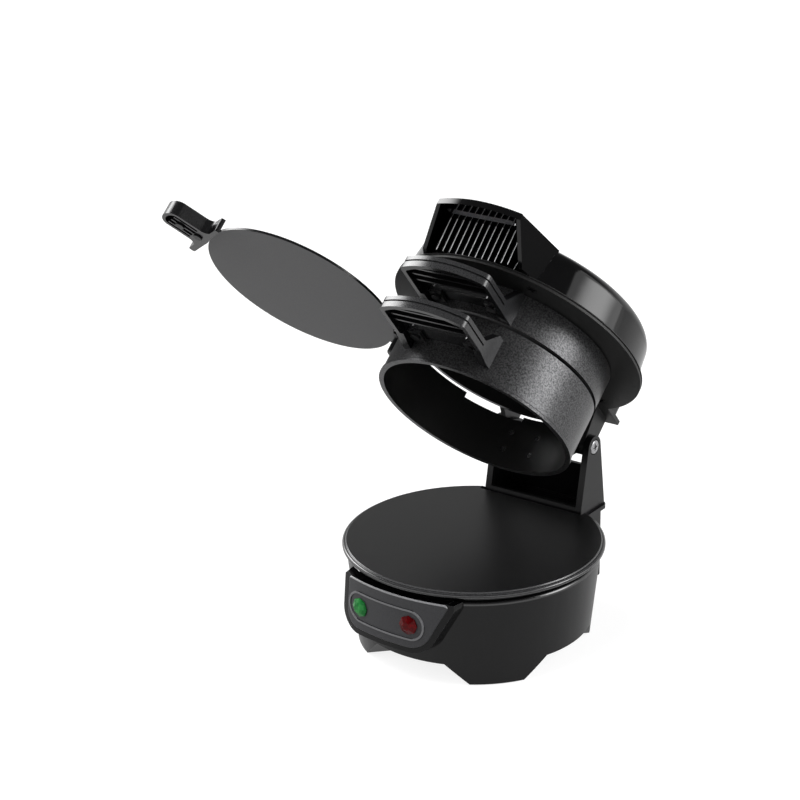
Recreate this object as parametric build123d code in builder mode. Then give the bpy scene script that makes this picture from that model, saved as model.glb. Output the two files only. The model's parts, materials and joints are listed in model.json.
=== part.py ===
from build123d import *
import os
from math import asin, atan, cos, degrees, radians, sin, sqrt, tan

os.makedirs("parts", exist_ok=True)

# ---------------------------------------------------------------------------
# Breakfast sandwich maker, millimetres, +Z up, origin on the counter under the
# middle of the opened machine.  The two rings and the cover turn about one
# hinge line behind the base.  Each of their pieces is drawn as it lies when the machine
# is closed, in a frame that the hinge has turned up by open_angle.  The egg
# plate between the rings is drawn closed too, in a frame that its pivot has
# swung out by swing_angle.
# ---------------------------------------------------------------------------

# where the base stands, so that the origin is under the middle of the opened machine
base_x = 52.0
base_y = -18.65

# hinge line and the open pose, measured from the middle of the base
hinge_y = 76.5
hinge_z = 96.0
open_angle = 50.0
pivot_offset = 6.9
pivot_direction = 184.0
swing_angle = 150.0

# running clearances
face_gap = 0.3
bore_gap = 0.08
seat_gap = 0.05

# base housing, a tapered moulding on four feet
housing_top = 54.0
housing_top_radius = 72.0
housing_draft = 4.5
housing_wall = 2.6
housing_shoulder = 2.5
deck_thickness = 2.6
deck_ledge = 16.0
skirt_height = 13.0
foot_lift = 0.8
foot_depth = 19.5
foot_bottom_width = 29.0
foot_top_width = 58.0
block_half_width = 34.0
block_depth = 86.0
block_corner = 4.0

# bottom cover, its screws and the rubber pads
cover_plate_thickness = 2.0
vent_slot_length = 26.0
vent_slot_width = 2.4
vent_slot_pitch = 7.0
vent_slot_count = 5
pad_radius = 4.5
pad_margin = 14.5
pad_height = 2.6
base_screw_margin = 7.0
base_screw_radius = 2.0
base_screw_head_radius = 3.3
base_screw_head_height = 2.4
base_screw_length = 21.0
base_screw_recess = 7.2
boss_radius = 4.2

# lower cooking plate with its heater
base_plate_overhang = 2.5
base_plate_top = 60.2
base_plate_thickness = 3.6
base_plate_rim_width = 2.0
base_plate_rim_drop = 0.8
collar_margin = 2.5
collar_width = 9.0
heater_radius = 38.0
heater_tube_radius = 3.25
heater_rib_width = 10.5
heater_rib_depth = 4.4
heater_gap_angle = 50.0
heater_tail_length = 9.0
heater_tail_radius = 1.4

# thermostats, fuse, terminals and lamps
thermostat_radius = 8.0
thermostat_height = 7.0
thermostat_stem_radius = 3.0
thermostat_stem_height = 3.0
blade_width = 6.3
blade_thickness = 0.8
blade_height = 8.0
blade_spacing = 11.0
fuse_radius = 2.2
fuse_length = 26.0
fuse_clip_width = 5.0
fuse_clip_height = 5.2
fuse_offset = 18.0
terminal_length = 30.0
terminal_width = 14.0
terminal_height = 13.0
terminal_offset = 46.0
terminal_screw_radius = 2.0
terminal_ways = 3
board_width = 50.0
board_height = 15.0
board_thickness = 1.6
lamp_radius = 2.5
lamp_length = 8.0

# control panel and its frame, on a flatter curve than the front of the housing
panel_front = 76.0
panel_curve = 110.0
panel_thickness = 2.0
panel_bottom = 23.6
panel_top_left = -36.5
panel_top_right = 31.6
panel_foot_left = -39.5
panel_foot_right = 15.5
panel_top_corner = 2.0
panel_left_corner = 9.0
panel_right_corner = 16.0
panel_crease = 1.0
shelf_thickness = 1.2
shelf_radius = 70.3
frame_border = 2.8
frame_ledge = 3.0
frame_set_back = 0.5
frame_slope = 8.0
frame_root = 46.0
window_half_width = 22.0
window_bottom = 29.0
window_top = 47.0
badge_middle = -9.8
badge_half_length = 27.0
badge_half_height = 9.3
badge_height_z = 38.0
badge_line = 1.2
badge_relief = 0.5
lens_offset = 17.3
lens_radius = 4.6
lens_flange_radius = 5.6
lens_flange_height = 0.8
lens_crown_radius = 2.6
lens_crown_height = 2.0
lens_facets = 8

# cord entry at the back of the block
gland_height_z = 28.0
gland_bore_radius = 3.6
gland_neck_radius = 5.4
gland_flange_radius = 7.6
gland_flange_thickness = 2.2
gland_sleeve = 7.0

# hinge post, a clevis on the block behind the base
post_half_width = 33.0
post_cheek = 4.0
post_head_radius = 6.6
post_foot_front = 61.5
post_foot_back = 88.5
post_flange_overhang = 1.6
post_flange_thickness = 2.6
post_back_wall = 2.4
post_back_top = 80.0
post_front_top = 62.0
screw_recess_radius = 4.6
screw_recess_depth = 1.4
cross_width = 1.2
channel_cover_thickness = 1.6
channel_cover_margin = 5.0

# hinge screws and the ears that turn on them
hinge_pin_radius = 2.5
hinge_head_radius = 4.2
hinge_head_height = 1.8
hinge_nut_width = 8.0
hinge_nut_height = 3.2
ear_radius = 6.0
cover_ear = 3.4
ring_ear = 3.0

# the two rings, seated on the base plate and on the egg plate's gap
ring_radius = 58.1
ring_wall = 2.4
ring_bead = 0.6
ring_bead_height = 1.6
lower_ring_bottom = 60.5
lower_ring_top = 93.9
plate_thickness = 1.6
upper_ring_height = 20.3
slot_window_depth = 3.2
slot_window_start = 96.0
slot_window_end = 134.0

# hinge straps of the rings
strap_thickness = 2.0
strap_margin = 6.0
rivet_radius = 1.6
rivet_head_radius = 2.8
rivet_head_height = 1.0
rivet_angle = 9.0
rivet_margin = 5.0

# ring handles
grip_half_width = 27.5
grip_front = 98.5
grip_corner_front = 91.0
grip_height = 7.0
grip_deck = 2.2
grip_wall = 2.6
grip_groove = 1.0
grip_corner = 5.0
gusset_width = 5.0
gusset_drop = 1.6
gusset_run = 15.0
lower_gusset_top = 86.8
upper_gusset_top = 115.4
grip_slot_length = 36.0
grip_slot_width = 5.0
grip_slot_y = 70.0
grip_rib_count = 3
grip_rib_pitch = 6.0
grip_rib_width = 1.3
grip_rib_depth = 3.0
grip_rib_front = -84.0
lower_grip_top = 77.0
upper_grip_top = 103.3
grip_screw_radius = 1.5
grip_screw_head_radius = 2.8
grip_screw_head_height = 1.4
tab_offset = 18.0
tab_width = 8.0
tab_reach = 65.0
tab_thickness = 1.8
tab_screw_y = 61.0

# egg plate, its pivot and its handle
egg_plate_radius = 59.2
plate_ear_radius = 7.0
pivot_pin_radius = 2.5
pivot_boss_radius = 6.5
pivot_boss_height = 12.0
pivot_head_radius = 4.4
pivot_head_height = 2.2
pivot_cap_radius = 5.0
pivot_cap_height = 9.0
handle_direction = 21.0
tang_width = 13.0
tang_reach = 84.0
bar_start = 60.5
bar_straight_end = 84.0
bar_end = 90.5
bar_width = 19.0
bar_top = 95.9
bar_height = 8.7
bar_wall = 2.2
bar_hollow_start = 70.0
bar_rib_width = 1.2
bar_rib_pitch = 4.6
bar_rib_count = 3
bar_rivet_margin = 5.0
guard_thickness = 4.0
guard_width = 45.0
guard_blend = 5.0

# cover
cover_bottom = 117.0
flange_radius = 76.0
flange_thickness = 2.8
flange_groove = 0.8
cover_wall_foot_radius = 72.6
cover_wall_top_radius = 70.6
cover_corner_top = 144.2
cover_shoulder = 9.0
cover_crown = 150.5
cover_wall = 2.4
emboss_radius = 47.0
emboss_blend = 2.0
emboss_foot = 148.1
emboss_top = 149.0
lip_half_width = 27.0
lip_front = 94.0
lip_corner_front = 89.0
lip_root_half_width = 38.0
lip_root_y = 58.0
lip_top = 143.9
lip_thickness = 3.4
lip_slot_length = 44.0
lip_slot_width = 4.6
lip_slot_y = 84.0
cheek_thickness = 2.4
cheek_toe = 74.0
rear_half_width = 34.0
rear_depth = 84.0
rear_top = 144.0
rear_corner = 5.0
cover_boss_radius = 3.6
cover_screw_circle = 66.5
cover_screw_start = 60.0
cover_screw_length = 18.0
cover_ear_front = 66.0
cover_ear_back = 82.0
tongue_thickness = 1.3
tongue_neck_half_width = 22.0
tongue_neck_y = 58.0
tongue_end_half_width = 17.5
tongue_end_y = 20.0
tongue_tip_y = 37.0
tongue_margin = 1.2
fin_count = 12
fin_pitch = 4.2
fin_thickness = 1.3
fin_backing = 1.4
fin_top_front = 77.0
fin_toe = 75.5
grille_half_width = 25.0
liner_margin = 1.5
liner_opening_gap = 0.5
cover_head_radius = 3.0
cover_head_height = 1.4

# upper cooking plate and its heater
upper_plate_radius = 56.5
upper_plate_bottom = 116.7
upper_plate_flange_radius = 62.0
upper_plate_flange = 1.5

# ---------------------------------------------------------------------------
# sizes that follow from the ones above
# ---------------------------------------------------------------------------
plate_gap = plate_thickness + 2 * face_gap
egg_plate_bottom = lower_ring_top + face_gap
upper_ring_bottom = lower_ring_top + plate_gap
upper_ring_top = upper_ring_bottom + upper_ring_height
housing_bottom_radius = housing_top_radius - housing_draft
deck_opening_radius = housing_top_radius - deck_ledge
foot_inner_radius = housing_bottom_radius - foot_depth
pad_circle = housing_bottom_radius - pad_margin
base_screw_circle = housing_bottom_radius - base_screw_margin
base_plate_radius = housing_top_radius + base_plate_overhang
collar_radius = housing_top_radius - collar_margin
taper = (housing_top_radius - housing_bottom_radius) / (housing_top - skirt_height)
flange_top = cover_bottom + flange_thickness
shell_bottom = flange_top + seat_gap
upper_plate_top = shell_bottom + upper_plate_flange
post_flange_bottom = housing_top
post_flange_top = post_flange_bottom + post_flange_thickness
cover_ear_outer = post_half_width - post_cheek - face_gap
upper_ear_outer = cover_ear_outer - cover_ear - face_gap
lower_ear_outer = upper_ear_outer - ring_ear - face_gap
nut_outer = lower_ear_outer - ring_ear - face_gap
base_plate_bottom = base_plate_top - base_plate_thickness
pivot_radius = ring_radius + pivot_offset
hood_reach = lip_front + cover_shoulder
pivot_x = pivot_radius * cos(radians(pivot_direction))
pivot_y = pivot_radius * sin(radians(pivot_direction))


def housing_radius(height):
    """Outer radius of the tapered housing at a height above the counter."""
    return housing_top_radius - taper * (housing_top - height)


# frames: fixed to the base, raised on the hinge, and swung on the egg plate's pivot
fixed = Location((base_x, base_y, 0))
raised = (
    fixed
    * Location((0, hinge_y, hinge_z))
    * Location((0, 0, 0), (-open_angle, 0, 0))
    * Location((0, -hinge_y, -hinge_z))
)
swung = (
    raised
    * Location((pivot_x, pivot_y, 0))
    * Location((0, 0, 0), (0, 0, -swing_angle))
    * Location((-pivot_x, -pivot_y, 0))
)


def level(frame, height):
    """Horizontal plane of a frame at a height."""
    return Plane(frame * Plane.XY.offset(height).location)


def upright(frame, offset=0.0):
    """Plane of a frame seen from the front: x to the right, y upwards, normal to -Y."""
    return Plane(frame * Plane.XZ.offset(offset).location)


def sideways(frame, offset=0.0):
    """Plane of a frame seen from the right: x to the back, y upwards, normal to +X."""
    return Plane(frame * Plane.YZ.offset(offset).location)


def facing(frame, direction, radius, height, lean=0.0):
    """Plane square to a direction, at a radius and height; x runs round, y up, normal out."""
    turn = Location((0, 0, 0), (0, 0, direction))
    stand = Plane(origin=(radius, 0, height), x_dir=(0, 1, 0), z_dir=(1, 0, 0))
    return Plane(frame * turn * stand.location * Location((0, 0, 0), (lean, 0, 0)))


def spindle(frame):
    """Vertical axis of a frame."""
    middle = level(frame, 0)
    return Axis(middle.origin, middle.z_dir)


def finish(piece, name):
    """Label a finished piece and write its STEP file."""
    piece.part.label = name
    export_step(piece.part, f"parts/{name}.step")


# ---------------------------------------------------------------------------
# what is cut from the skirt: everything below it but the four flared feet
# ---------------------------------------------------------------------------
cut_reach = block_depth + 2 * block_corner

with BuildPart() as foot_prisms:
    for quarter in range(4):
        with BuildSketch(facing(fixed, 45 + 90 * quarter, 0, 0)):
            with BuildLine():
                Polyline(
                    (-foot_bottom_width / 2, 0),
                    (foot_bottom_width / 2, 0),
                    (foot_top_width / 2, skirt_height),
                    (-foot_top_width / 2, skirt_height),
                    close=True,
                )
            make_face()
        extrude(amount=cut_reach)

with BuildPart() as skirt_cut:
    with BuildSketch(level(fixed, 0)):
        Circle(cut_reach)
    extrude(amount=skirt_height)
    add(foot_prisms.part, mode=Mode.SUBTRACT)

# ---------------------------------------------------------------------------
# base housing: tapered drum, block behind it for the hinge post, four feet
# ---------------------------------------------------------------------------
def draw_shelf(spread):
    """Plan of the panel's shelf, from its face in to the collar, grown by a spread."""
    width = panel_top_right - panel_top_left - 2 * panel_top_corner + 2 * spread
    with BuildSketch() as shelf:
        with Locations((0, panel_curve - panel_front)):
            Circle(panel_curve - panel_thickness + spread)
        Circle(shelf_radius - spread, mode=Mode.SUBTRACT)
        with Locations(((panel_top_left + panel_top_right) / 2, -panel_front)):
            Rectangle(width, panel_front, mode=Mode.INTERSECT)
    return shelf.sketch


housing_foot_radius = housing_radius(foot_lift)
cavity_top = housing_top - deck_thickness

with BuildPart() as base_housing:
    with BuildSketch(upright(fixed)):
        with BuildLine():
            Polyline(
                (0, foot_lift),
                (housing_foot_radius, foot_lift),
                (housing_top_radius, housing_top),
                (0, housing_top),
                close=True,
            )
        face = make_face()
        fillet(face.vertices().sort_by(Axis.X)[-1], housing_shoulder)
    revolve(axis=spindle(fixed))
    with BuildSketch(level(fixed, foot_lift)):
        with Locations((0, block_depth / 2)):
            RectangleRounded(2 * block_half_width, block_depth, block_corner)
    extrude(amount=housing_top - foot_lift)
    # cavity under the deck
    with BuildSketch(upright(fixed)):
        with BuildLine():
            Polyline(
                (0, 0),
                (housing_radius(0) - housing_wall, 0),
                (housing_radius(cavity_top) - housing_wall, cavity_top),
                (0, cavity_top),
                close=True,
            )
        make_face()
    revolve(axis=spindle(fixed), mode=Mode.SUBTRACT)
    with BuildSketch(level(fixed, 0)):
        with Locations((0, (block_depth - housing_wall) / 2)):
            Rectangle(2 * (block_half_width - housing_wall), block_depth - housing_wall)
    extrude(amount=cavity_top, mode=Mode.SUBTRACT)
    with BuildSketch(level(fixed, cavity_top)):
        Circle(deck_opening_radius)
    extrude(amount=deck_thickness, mode=Mode.SUBTRACT)
    # feet, filled in below the skirt
    with BuildSketch(upright(fixed)):
        with BuildLine():
            Polyline(
                (foot_inner_radius, foot_lift),
                (housing_foot_radius, foot_lift),
                (housing_radius(skirt_height), skirt_height),
                (foot_inner_radius, skirt_height),
                close=True,
            )
        make_face()
    revolve(axis=spindle(fixed))
    # the skirt is cut away between the feet
    add(skirt_cut.part, mode=Mode.SUBTRACT)
    # screw bosses under the deck
    with BuildSketch(level(fixed, skirt_height + cover_plate_thickness)):
        with PolarLocations(base_screw_circle, 4, start_angle=45):
            Circle(boss_radius)
    extrude(amount=cavity_top - skirt_height - cover_plate_thickness)
    with BuildSketch(level(fixed, 0)):
        with PolarLocations(base_screw_circle, 4, start_angle=45):
            Circle(base_screw_radius + seat_gap)
    extrude(amount=base_screw_recess + base_screw_length + 1, mode=Mode.SUBTRACT)
    with BuildSketch(level(fixed, 0)):
        with PolarLocations(base_screw_circle, 4, start_angle=45):
            Circle(base_screw_head_radius + face_gap)
    extrude(amount=base_screw_recess, mode=Mode.SUBTRACT)
    # pad recesses
    with BuildSketch(level(fixed, 0)):
        with PolarLocations(pad_circle, 4, start_angle=45):
            Circle(pad_radius + seat_gap)
    extrude(amount=pad_height, mode=Mode.SUBTRACT)
    # window behind the control panel, and a recess for the panel's shelf
    with BuildSketch(upright(fixed)):
        with Locations((badge_middle, (window_top + window_bottom) / 2)):
            Rectangle(2 * window_half_width, window_top - window_bottom)
    extrude(amount=housing_top_radius + 1, mode=Mode.SUBTRACT)
    with BuildSketch(level(fixed, housing_top - shelf_thickness - seat_gap)):
        add(draw_shelf(seat_gap))
    extrude(amount=shelf_thickness + 1, mode=Mode.SUBTRACT)
    # cord entry
    with BuildSketch(upright(fixed, -block_depth)):
        with Locations((0, gland_height_z)):
            Circle(gland_neck_radius + seat_gap)
    extrude(amount=housing_wall + 1, mode=Mode.SUBTRACT)
finish(base_housing, "base_housing")

# ---------------------------------------------------------------------------
# bottom cover, held to the feet by four screws from below
# ---------------------------------------------------------------------------
with BuildPart() as bottom_cover:
    with BuildSketch(level(fixed, skirt_height)):
        Circle(housing_radius(skirt_height) - housing_wall - seat_gap)
        with Locations((0, (block_depth - housing_wall - seat_gap) / 2)):
            Rectangle(
                2 * (block_half_width - housing_wall - seat_gap),
                block_depth - housing_wall - seat_gap,
            )
        with GridLocations(0, vent_slot_pitch, 1, vent_slot_count):
            SlotOverall(vent_slot_length, vent_slot_width, mode=Mode.SUBTRACT)
        with PolarLocations(base_screw_circle, 4, start_angle=45):
            Circle(base_screw_radius + seat_gap, mode=Mode.SUBTRACT)
    extrude(amount=cover_plate_thickness)
finish(bottom_cover, "bottom_cover")

with BuildPart() as base_screws:
    with BuildSketch(level(fixed, base_screw_recess)):
        with PolarLocations(base_screw_circle, 4, start_angle=45):
            Circle(base_screw_radius)
    extrude(amount=base_screw_length)
    with BuildSketch(level(fixed, base_screw_recess)):
        with PolarLocations(base_screw_circle, 4, start_angle=45):
            Circle(base_screw_head_radius)
    extrude(amount=-base_screw_head_height)
    with BuildSketch(level(fixed, base_screw_recess - base_screw_head_height)):
        with PolarLocations(base_screw_circle, 4, start_angle=45):
            Rectangle(base_screw_head_radius, cross_width)
            Rectangle(cross_width, base_screw_head_radius)
    extrude(amount=base_screw_head_height / 2, mode=Mode.SUBTRACT)
finish(base_screws, "base_screws")

with BuildPart() as foot_pads:
    with BuildSketch(level(fixed, 0)):
        with PolarLocations(pad_circle, 4, start_angle=45):
            Circle(pad_radius)
    extrude(amount=pad_height)
finish(foot_pads, "foot_pads")

# ---------------------------------------------------------------------------
# collar and lower cooking plate; the tubular heater lies in a rib under the plate
# ---------------------------------------------------------------------------
notch_front = post_foot_front - post_flange_overhang - face_gap
notch_half_width = post_half_width + post_flange_overhang + face_gap

with BuildPart() as trim_collar:
    with BuildSketch(level(fixed, housing_top)):
        Circle(collar_radius)
        Circle(collar_radius - collar_width, mode=Mode.SUBTRACT)
        with Locations((0, notch_front + base_plate_radius / 2)):
            Rectangle(2 * notch_half_width, base_plate_radius, mode=Mode.SUBTRACT)
    extrude(amount=base_plate_bottom - housing_top)
finish(trim_collar, "trim_collar")

lower_heater_z = base_plate_bottom - heater_rib_depth + heater_tube_radius / 2

with BuildPart() as lower_cooking_plate:
    with BuildSketch(upright(fixed)):
        with BuildLine():
            Polyline(
                (0, base_plate_bottom),
                (base_plate_radius, base_plate_bottom),
                (base_plate_radius, base_plate_top - base_plate_rim_drop),
                (base_plate_radius - base_plate_rim_width, base_plate_top - base_plate_rim_drop),
                (base_plate_radius - base_plate_rim_width, base_plate_top),
                (0, base_plate_top),
                close=True,
            )
        face = make_face()
        outer_corners = face.vertices().filter_by_position(
            Axis.X, base_plate_radius - seat_gap, base_plate_radius + seat_gap
        )
        chamfer(outer_corners, base_plate_rim_drop)
        with Locations((heater_radius, base_plate_bottom - heater_rib_depth / 2)):
            Rectangle(heater_rib_width, heater_rib_depth)
        with Locations((heater_radius, lower_heater_z)):
            Circle(heater_tube_radius + seat_gap, mode=Mode.SUBTRACT)
    revolve(axis=spindle(fixed))
    # cut back for the hinge post
    with BuildSketch(level(fixed, base_plate_bottom)):
        with Locations((0, notch_front + base_plate_radius / 2)):
            Rectangle(2 * notch_half_width, base_plate_radius)
    extrude(amount=base_plate_thickness, mode=Mode.SUBTRACT)
finish(lower_cooking_plate, "lower_cooking_plate")


def build_heater(frame, tube_z, tail_drop, start):
    """Horseshoe heater: a bent tube with a pin at each end, drop is negative for downwards."""
    tail_angle = degrees(2 * heater_tail_radius / heater_radius)
    with BuildPart() as heater:
        with BuildSketch(facing(frame, start - 90, 0, tube_z)):
            with Locations((heater_radius, 0)):
                Circle(heater_tube_radius)
        revolve(axis=spindle(frame), revolution_arc=360 - heater_gap_angle)
        with BuildSketch(level(frame, tube_z)):
            for end in (start + tail_angle, start + 360 - heater_gap_angle - tail_angle):
                with PolarLocations(heater_radius, 1, start_angle=end):
                    Circle(heater_tail_radius)
        extrude(amount=tail_drop)
    return heater


lower_heating_element = build_heater(
    fixed, lower_heater_z, -heater_tube_radius - heater_tail_length, 90 + heater_gap_angle / 2
)
finish(lower_heating_element, "lower_heating_element")


def build_thermostat(frame, seat_z, side):
    """Disc thermostat with two blades; side is -1 below its seat and 1 above it."""
    with BuildPart() as thermostat:
        with BuildSketch(level(frame, seat_z)):
            Circle(thermostat_stem_radius)
        extrude(amount=side * thermostat_stem_height)
        with BuildSketch(level(frame, seat_z + side * thermostat_stem_height)):
            Circle(thermostat_radius)
        extrude(amount=side * thermostat_height)
        with BuildSketch(level(frame, seat_z + side * (thermostat_stem_height + thermostat_height))):
            with GridLocations(blade_spacing, 0, 2, 1):
                Rectangle(blade_thickness, blade_width)
        extrude(amount=side * blade_height)
    return thermostat


lower_thermostat = build_thermostat(fixed, base_plate_bottom, -1)
finish(lower_thermostat, "lower_thermostat")

with BuildPart() as thermal_fuse:
    with BuildSketch(sideways(fixed, -fuse_length / 2)):
        with Locations((fuse_offset, base_plate_bottom - seat_gap - fuse_radius)):
            Circle(fuse_radius)
    extrude(amount=fuse_length)
    with BuildSketch(level(fixed, base_plate_bottom)):
        with Locations((0, fuse_offset)):
            Rectangle(fuse_clip_width, 2 * fuse_radius + housing_wall)
    extrude(amount=-fuse_clip_height)
finish(thermal_fuse, "thermal_fuse")

terminal_floor = skirt_height + cover_plate_thickness
with BuildPart() as terminal_block:
    with BuildSketch(level(fixed, terminal_floor)):
        with Locations((0, terminal_offset)):
            RectangleRounded(terminal_length, terminal_width, block_corner / 2)
    extrude(amount=terminal_height)
    with BuildSketch(level(fixed, terminal_floor + terminal_height)):
        with Locations((0, terminal_offset)):
            with GridLocations(terminal_length / terminal_ways, 0, terminal_ways, 1):
                Circle(terminal_screw_radius)
    extrude(amount=-terminal_height / 2, mode=Mode.SUBTRACT)
finish(terminal_block, "terminal_block")

# ---------------------------------------------------------------------------
# control panel: a curved plate in a sloped frame, with two indicator lenses
# ---------------------------------------------------------------------------
curve_frame = fixed * Location((0, panel_curve - panel_front, 0))
panel_plane = upright(fixed, frame_root)
panel_reach = panel_front - frame_root + panel_thickness


def build_band(inner, outer, bottom, top):
    """Upright band on the panel's curve, between two distances from its face."""
    with BuildPart() as band:
        with BuildSketch(level(curve_frame, bottom)):
            Circle(panel_curve + outer)
            Circle(panel_curve + inner, mode=Mode.SUBTRACT)
        extrude(amount=top - bottom)
    return band


def draw_panel_outline(spread):
    """Outline of the panel with its rounded corners, grown by a spread."""
    with BuildSketch() as outline:
        with BuildLine():
            Polyline(
                (panel_top_left, housing_top),
                (panel_top_right, housing_top),
                (panel_foot_right, panel_bottom),
                (panel_foot_left, panel_bottom),
                close=True,
            )
        make_face()
        fillet(outline.vertices().group_by(Axis.Y)[-1], panel_top_corner)
        left, right = outline.vertices().group_by(Axis.Y)[0].sort_by(Axis.X)
        fillet(left, panel_left_corner)
        right = outline.vertices().group_by(Axis.Y)[0].sort_by(Axis.X)[-1]
        fillet(right, panel_right_corner)
        if spread != 0:
            offset(amount=spread)
    return outline.sketch


with BuildPart() as badge:
    with BuildSketch(panel_plane):
        with Locations((badge_middle, badge_height_z)):
            SlotOverall(2 * badge_half_length, 2 * badge_half_height)
            SlotOverall(
                2 * (badge_half_length - badge_line),
                2 * (badge_half_height - badge_line),
                mode=Mode.SUBTRACT,
            )
    extrude(amount=panel_reach)
    add(build_band(0, badge_relief, panel_bottom, housing_top).part, mode=Mode.INTERSECT)


def lens_seat(side):
    """Plane square to the panel's face where a lens stands."""
    turn = degrees(asin((badge_middle + side * lens_offset) / panel_curve))
    return facing(curve_frame, turn - 90, panel_curve, badge_height_z)


with BuildPart() as control_panel:
    with BuildSketch(panel_plane):
        add(draw_panel_outline(0))
    extrude(amount=panel_reach)
    add(build_band(-panel_thickness, 0, panel_bottom, housing_top).part, mode=Mode.INTERSECT)
    with BuildSketch(level(fixed, housing_top - shelf_thickness)):
        add(draw_shelf(0))
    extrude(amount=shelf_thickness)
    crease = control_panel.edges().group_by(Axis.Z)[-1].sort_by(Axis.Y)[0]
    fillet(crease, panel_crease)
    add(badge.part)
    for side in (-1, 1):
        with BuildSketch(lens_seat(side)):
            Circle(lens_radius + seat_gap)
        extrude(amount=2 * panel_thickness, both=True, mode=Mode.SUBTRACT)
finish(control_panel, "control_panel")

frame_bottom = panel_bottom - 2 * frame_border
frame_spread = frame_border + (panel_front - frame_root) * tan(radians(frame_slope))

with BuildPart() as panel_frame:
    with BuildSketch(panel_plane):
        add(draw_panel_outline(frame_spread))
    extrude(amount=panel_front - frame_root, taper=frame_slope)
    add(
        build_band(-panel_front, -frame_set_back, frame_bottom, housing_top - seat_gap).part,
        mode=Mode.INTERSECT,
    )
    # the housing's wall, the panel with its shelf, and the window behind it
    with BuildSketch(upright(fixed)):
        with BuildLine():
            Polyline(
                (0, 0),
                (housing_radius(0) + seat_gap, 0),
                (housing_radius(housing_top) + seat_gap, housing_top),
                (0, housing_top),
                close=True,
            )
        make_face()
    revolve(axis=spindle(fixed), mode=Mode.SUBTRACT)
    with BuildSketch(panel_plane):
        add(draw_panel_outline(-frame_ledge))
    extrude(amount=panel_reach, mode=Mode.SUBTRACT)
    with BuildSketch(level(fixed, housing_top - shelf_thickness - seat_gap)):
        add(draw_shelf(seat_gap))
    extrude(amount=shelf_thickness, mode=Mode.SUBTRACT)
    with BuildPart(mode=Mode.SUBTRACT) as pocket:
        with BuildSketch(panel_plane):
            add(draw_panel_outline(seat_gap))
        extrude(amount=panel_reach)
        add(
            build_band(-panel_thickness - seat_gap, seat_gap, 0, 2 * housing_top).part,
            mode=Mode.INTERSECT,
        )
finish(panel_frame, "panel_frame")


def build_lens(side):
    """Faceted indicator lens with a round stem through the panel."""
    seat = lens_seat(side).offset(seat_gap)
    with BuildPart() as lens:
        with BuildSketch(seat):
            Circle(lens_radius)
        extrude(amount=-panel_thickness - lens_flange_height)
        with BuildSketch(seat):
            RegularPolygon(lens_flange_radius, lens_facets)
        extrude(amount=lens_flange_height)
        with BuildSketch(seat.offset(lens_flange_height)):
            RegularPolygon(lens_flange_radius, lens_facets)
        crown_slope = degrees(atan((lens_flange_radius - lens_crown_radius) / lens_crown_height))
        extrude(amount=lens_crown_height, taper=crown_slope)
    return lens


green_lens = build_lens(-1)
finish(green_lens, "green_lens")
red_lens = build_lens(1)
finish(red_lens, "red_lens")

board_wall_radius = housing_radius(badge_height_z - board_height / 2) - housing_wall
board_end = board_width / 2 - badge_middle
board_face = sqrt(board_wall_radius**2 - board_end**2) - face_gap

with BuildPart() as lamp_board:
    with BuildSketch(upright(fixed, board_face)):
        with Locations((badge_middle, badge_height_z)):
            Rectangle(board_width, board_height)
    extrude(amount=-board_thickness)
finish(lamp_board, "lamp_board")

with BuildPart() as neon_lamps:
    with BuildSketch(upright(fixed, board_face)):
        with Locations((badge_middle, badge_height_z)):
            with GridLocations(2 * lens_offset, 0, 2, 1):
                Circle(lamp_radius)
    extrude(amount=lamp_length)
    fillet(neon_lamps.edges().filter_by(GeomType.CIRCLE).group_by(Axis.Y)[0], lamp_radius * 0.8)
finish(neon_lamps, "neon_lamps")

with BuildPart() as cord_gland:
    with BuildSketch(upright(fixed, -block_depth)):
        with Locations((0, gland_height_z)):
            Circle(gland_flange_radius)
    extrude(amount=-gland_flange_thickness)
    with BuildSketch(upright(fixed, -block_depth)):
        with Locations((0, gland_height_z)):
            Circle(gland_neck_radius)
    extrude(amount=housing_wall + gland_sleeve)
    with BuildSketch(upright(fixed, -block_depth - gland_flange_thickness)):
        with Locations((0, gland_height_z)):
            Circle(gland_bore_radius)
    extrude(amount=gland_flange_thickness + housing_wall + gland_sleeve, mode=Mode.SUBTRACT)
finish(cord_gland, "cord_gland")

# ---------------------------------------------------------------------------
# hinge post: a clevis of two cheeks on a flange, open at the front
# ---------------------------------------------------------------------------
post_span = 2 * (post_half_width - post_cheek)


def draw_post_side(shift=0.0):
    """Side outline of the post: its foot line joined to the round head."""
    with BuildSketch() as side:
        with Locations((hinge_y + shift, hinge_z)):
            Circle(post_head_radius)
        with Locations(((post_foot_front + post_foot_back) / 2 + shift, post_flange_top)):
            Rectangle(post_foot_back - post_foot_front, seat_gap)
        make_hull()
    return side.sketch


with BuildPart() as post_wall:
    with BuildSketch(sideways(fixed, -post_span / 2)):
        add(draw_post_side())
    extrude(amount=post_span)
    with BuildSketch(sideways(fixed, -post_span / 2)):
        add(draw_post_side(-post_back_wall))
    extrude(amount=post_span, mode=Mode.SUBTRACT)
    with BuildSketch(level(fixed, post_back_top)):
        with Locations((0, hinge_y)):
            Rectangle(2 * post_span, post_span)
    extrude(amount=post_span, mode=Mode.SUBTRACT)

with BuildPart() as post_kerb:
    with BuildSketch(sideways(fixed, -post_span / 2)):
        add(draw_post_side())
    extrude(amount=post_span)
    with BuildSketch(sideways(fixed, -post_span / 2)):
        add(draw_post_side(post_back_wall))
    extrude(amount=post_span, mode=Mode.SUBTRACT)
    with BuildSketch(level(fixed, post_front_top)):
        with Locations((0, hinge_y)):
            Rectangle(2 * post_span, post_span)
    extrude(amount=post_span, mode=Mode.SUBTRACT)

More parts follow.
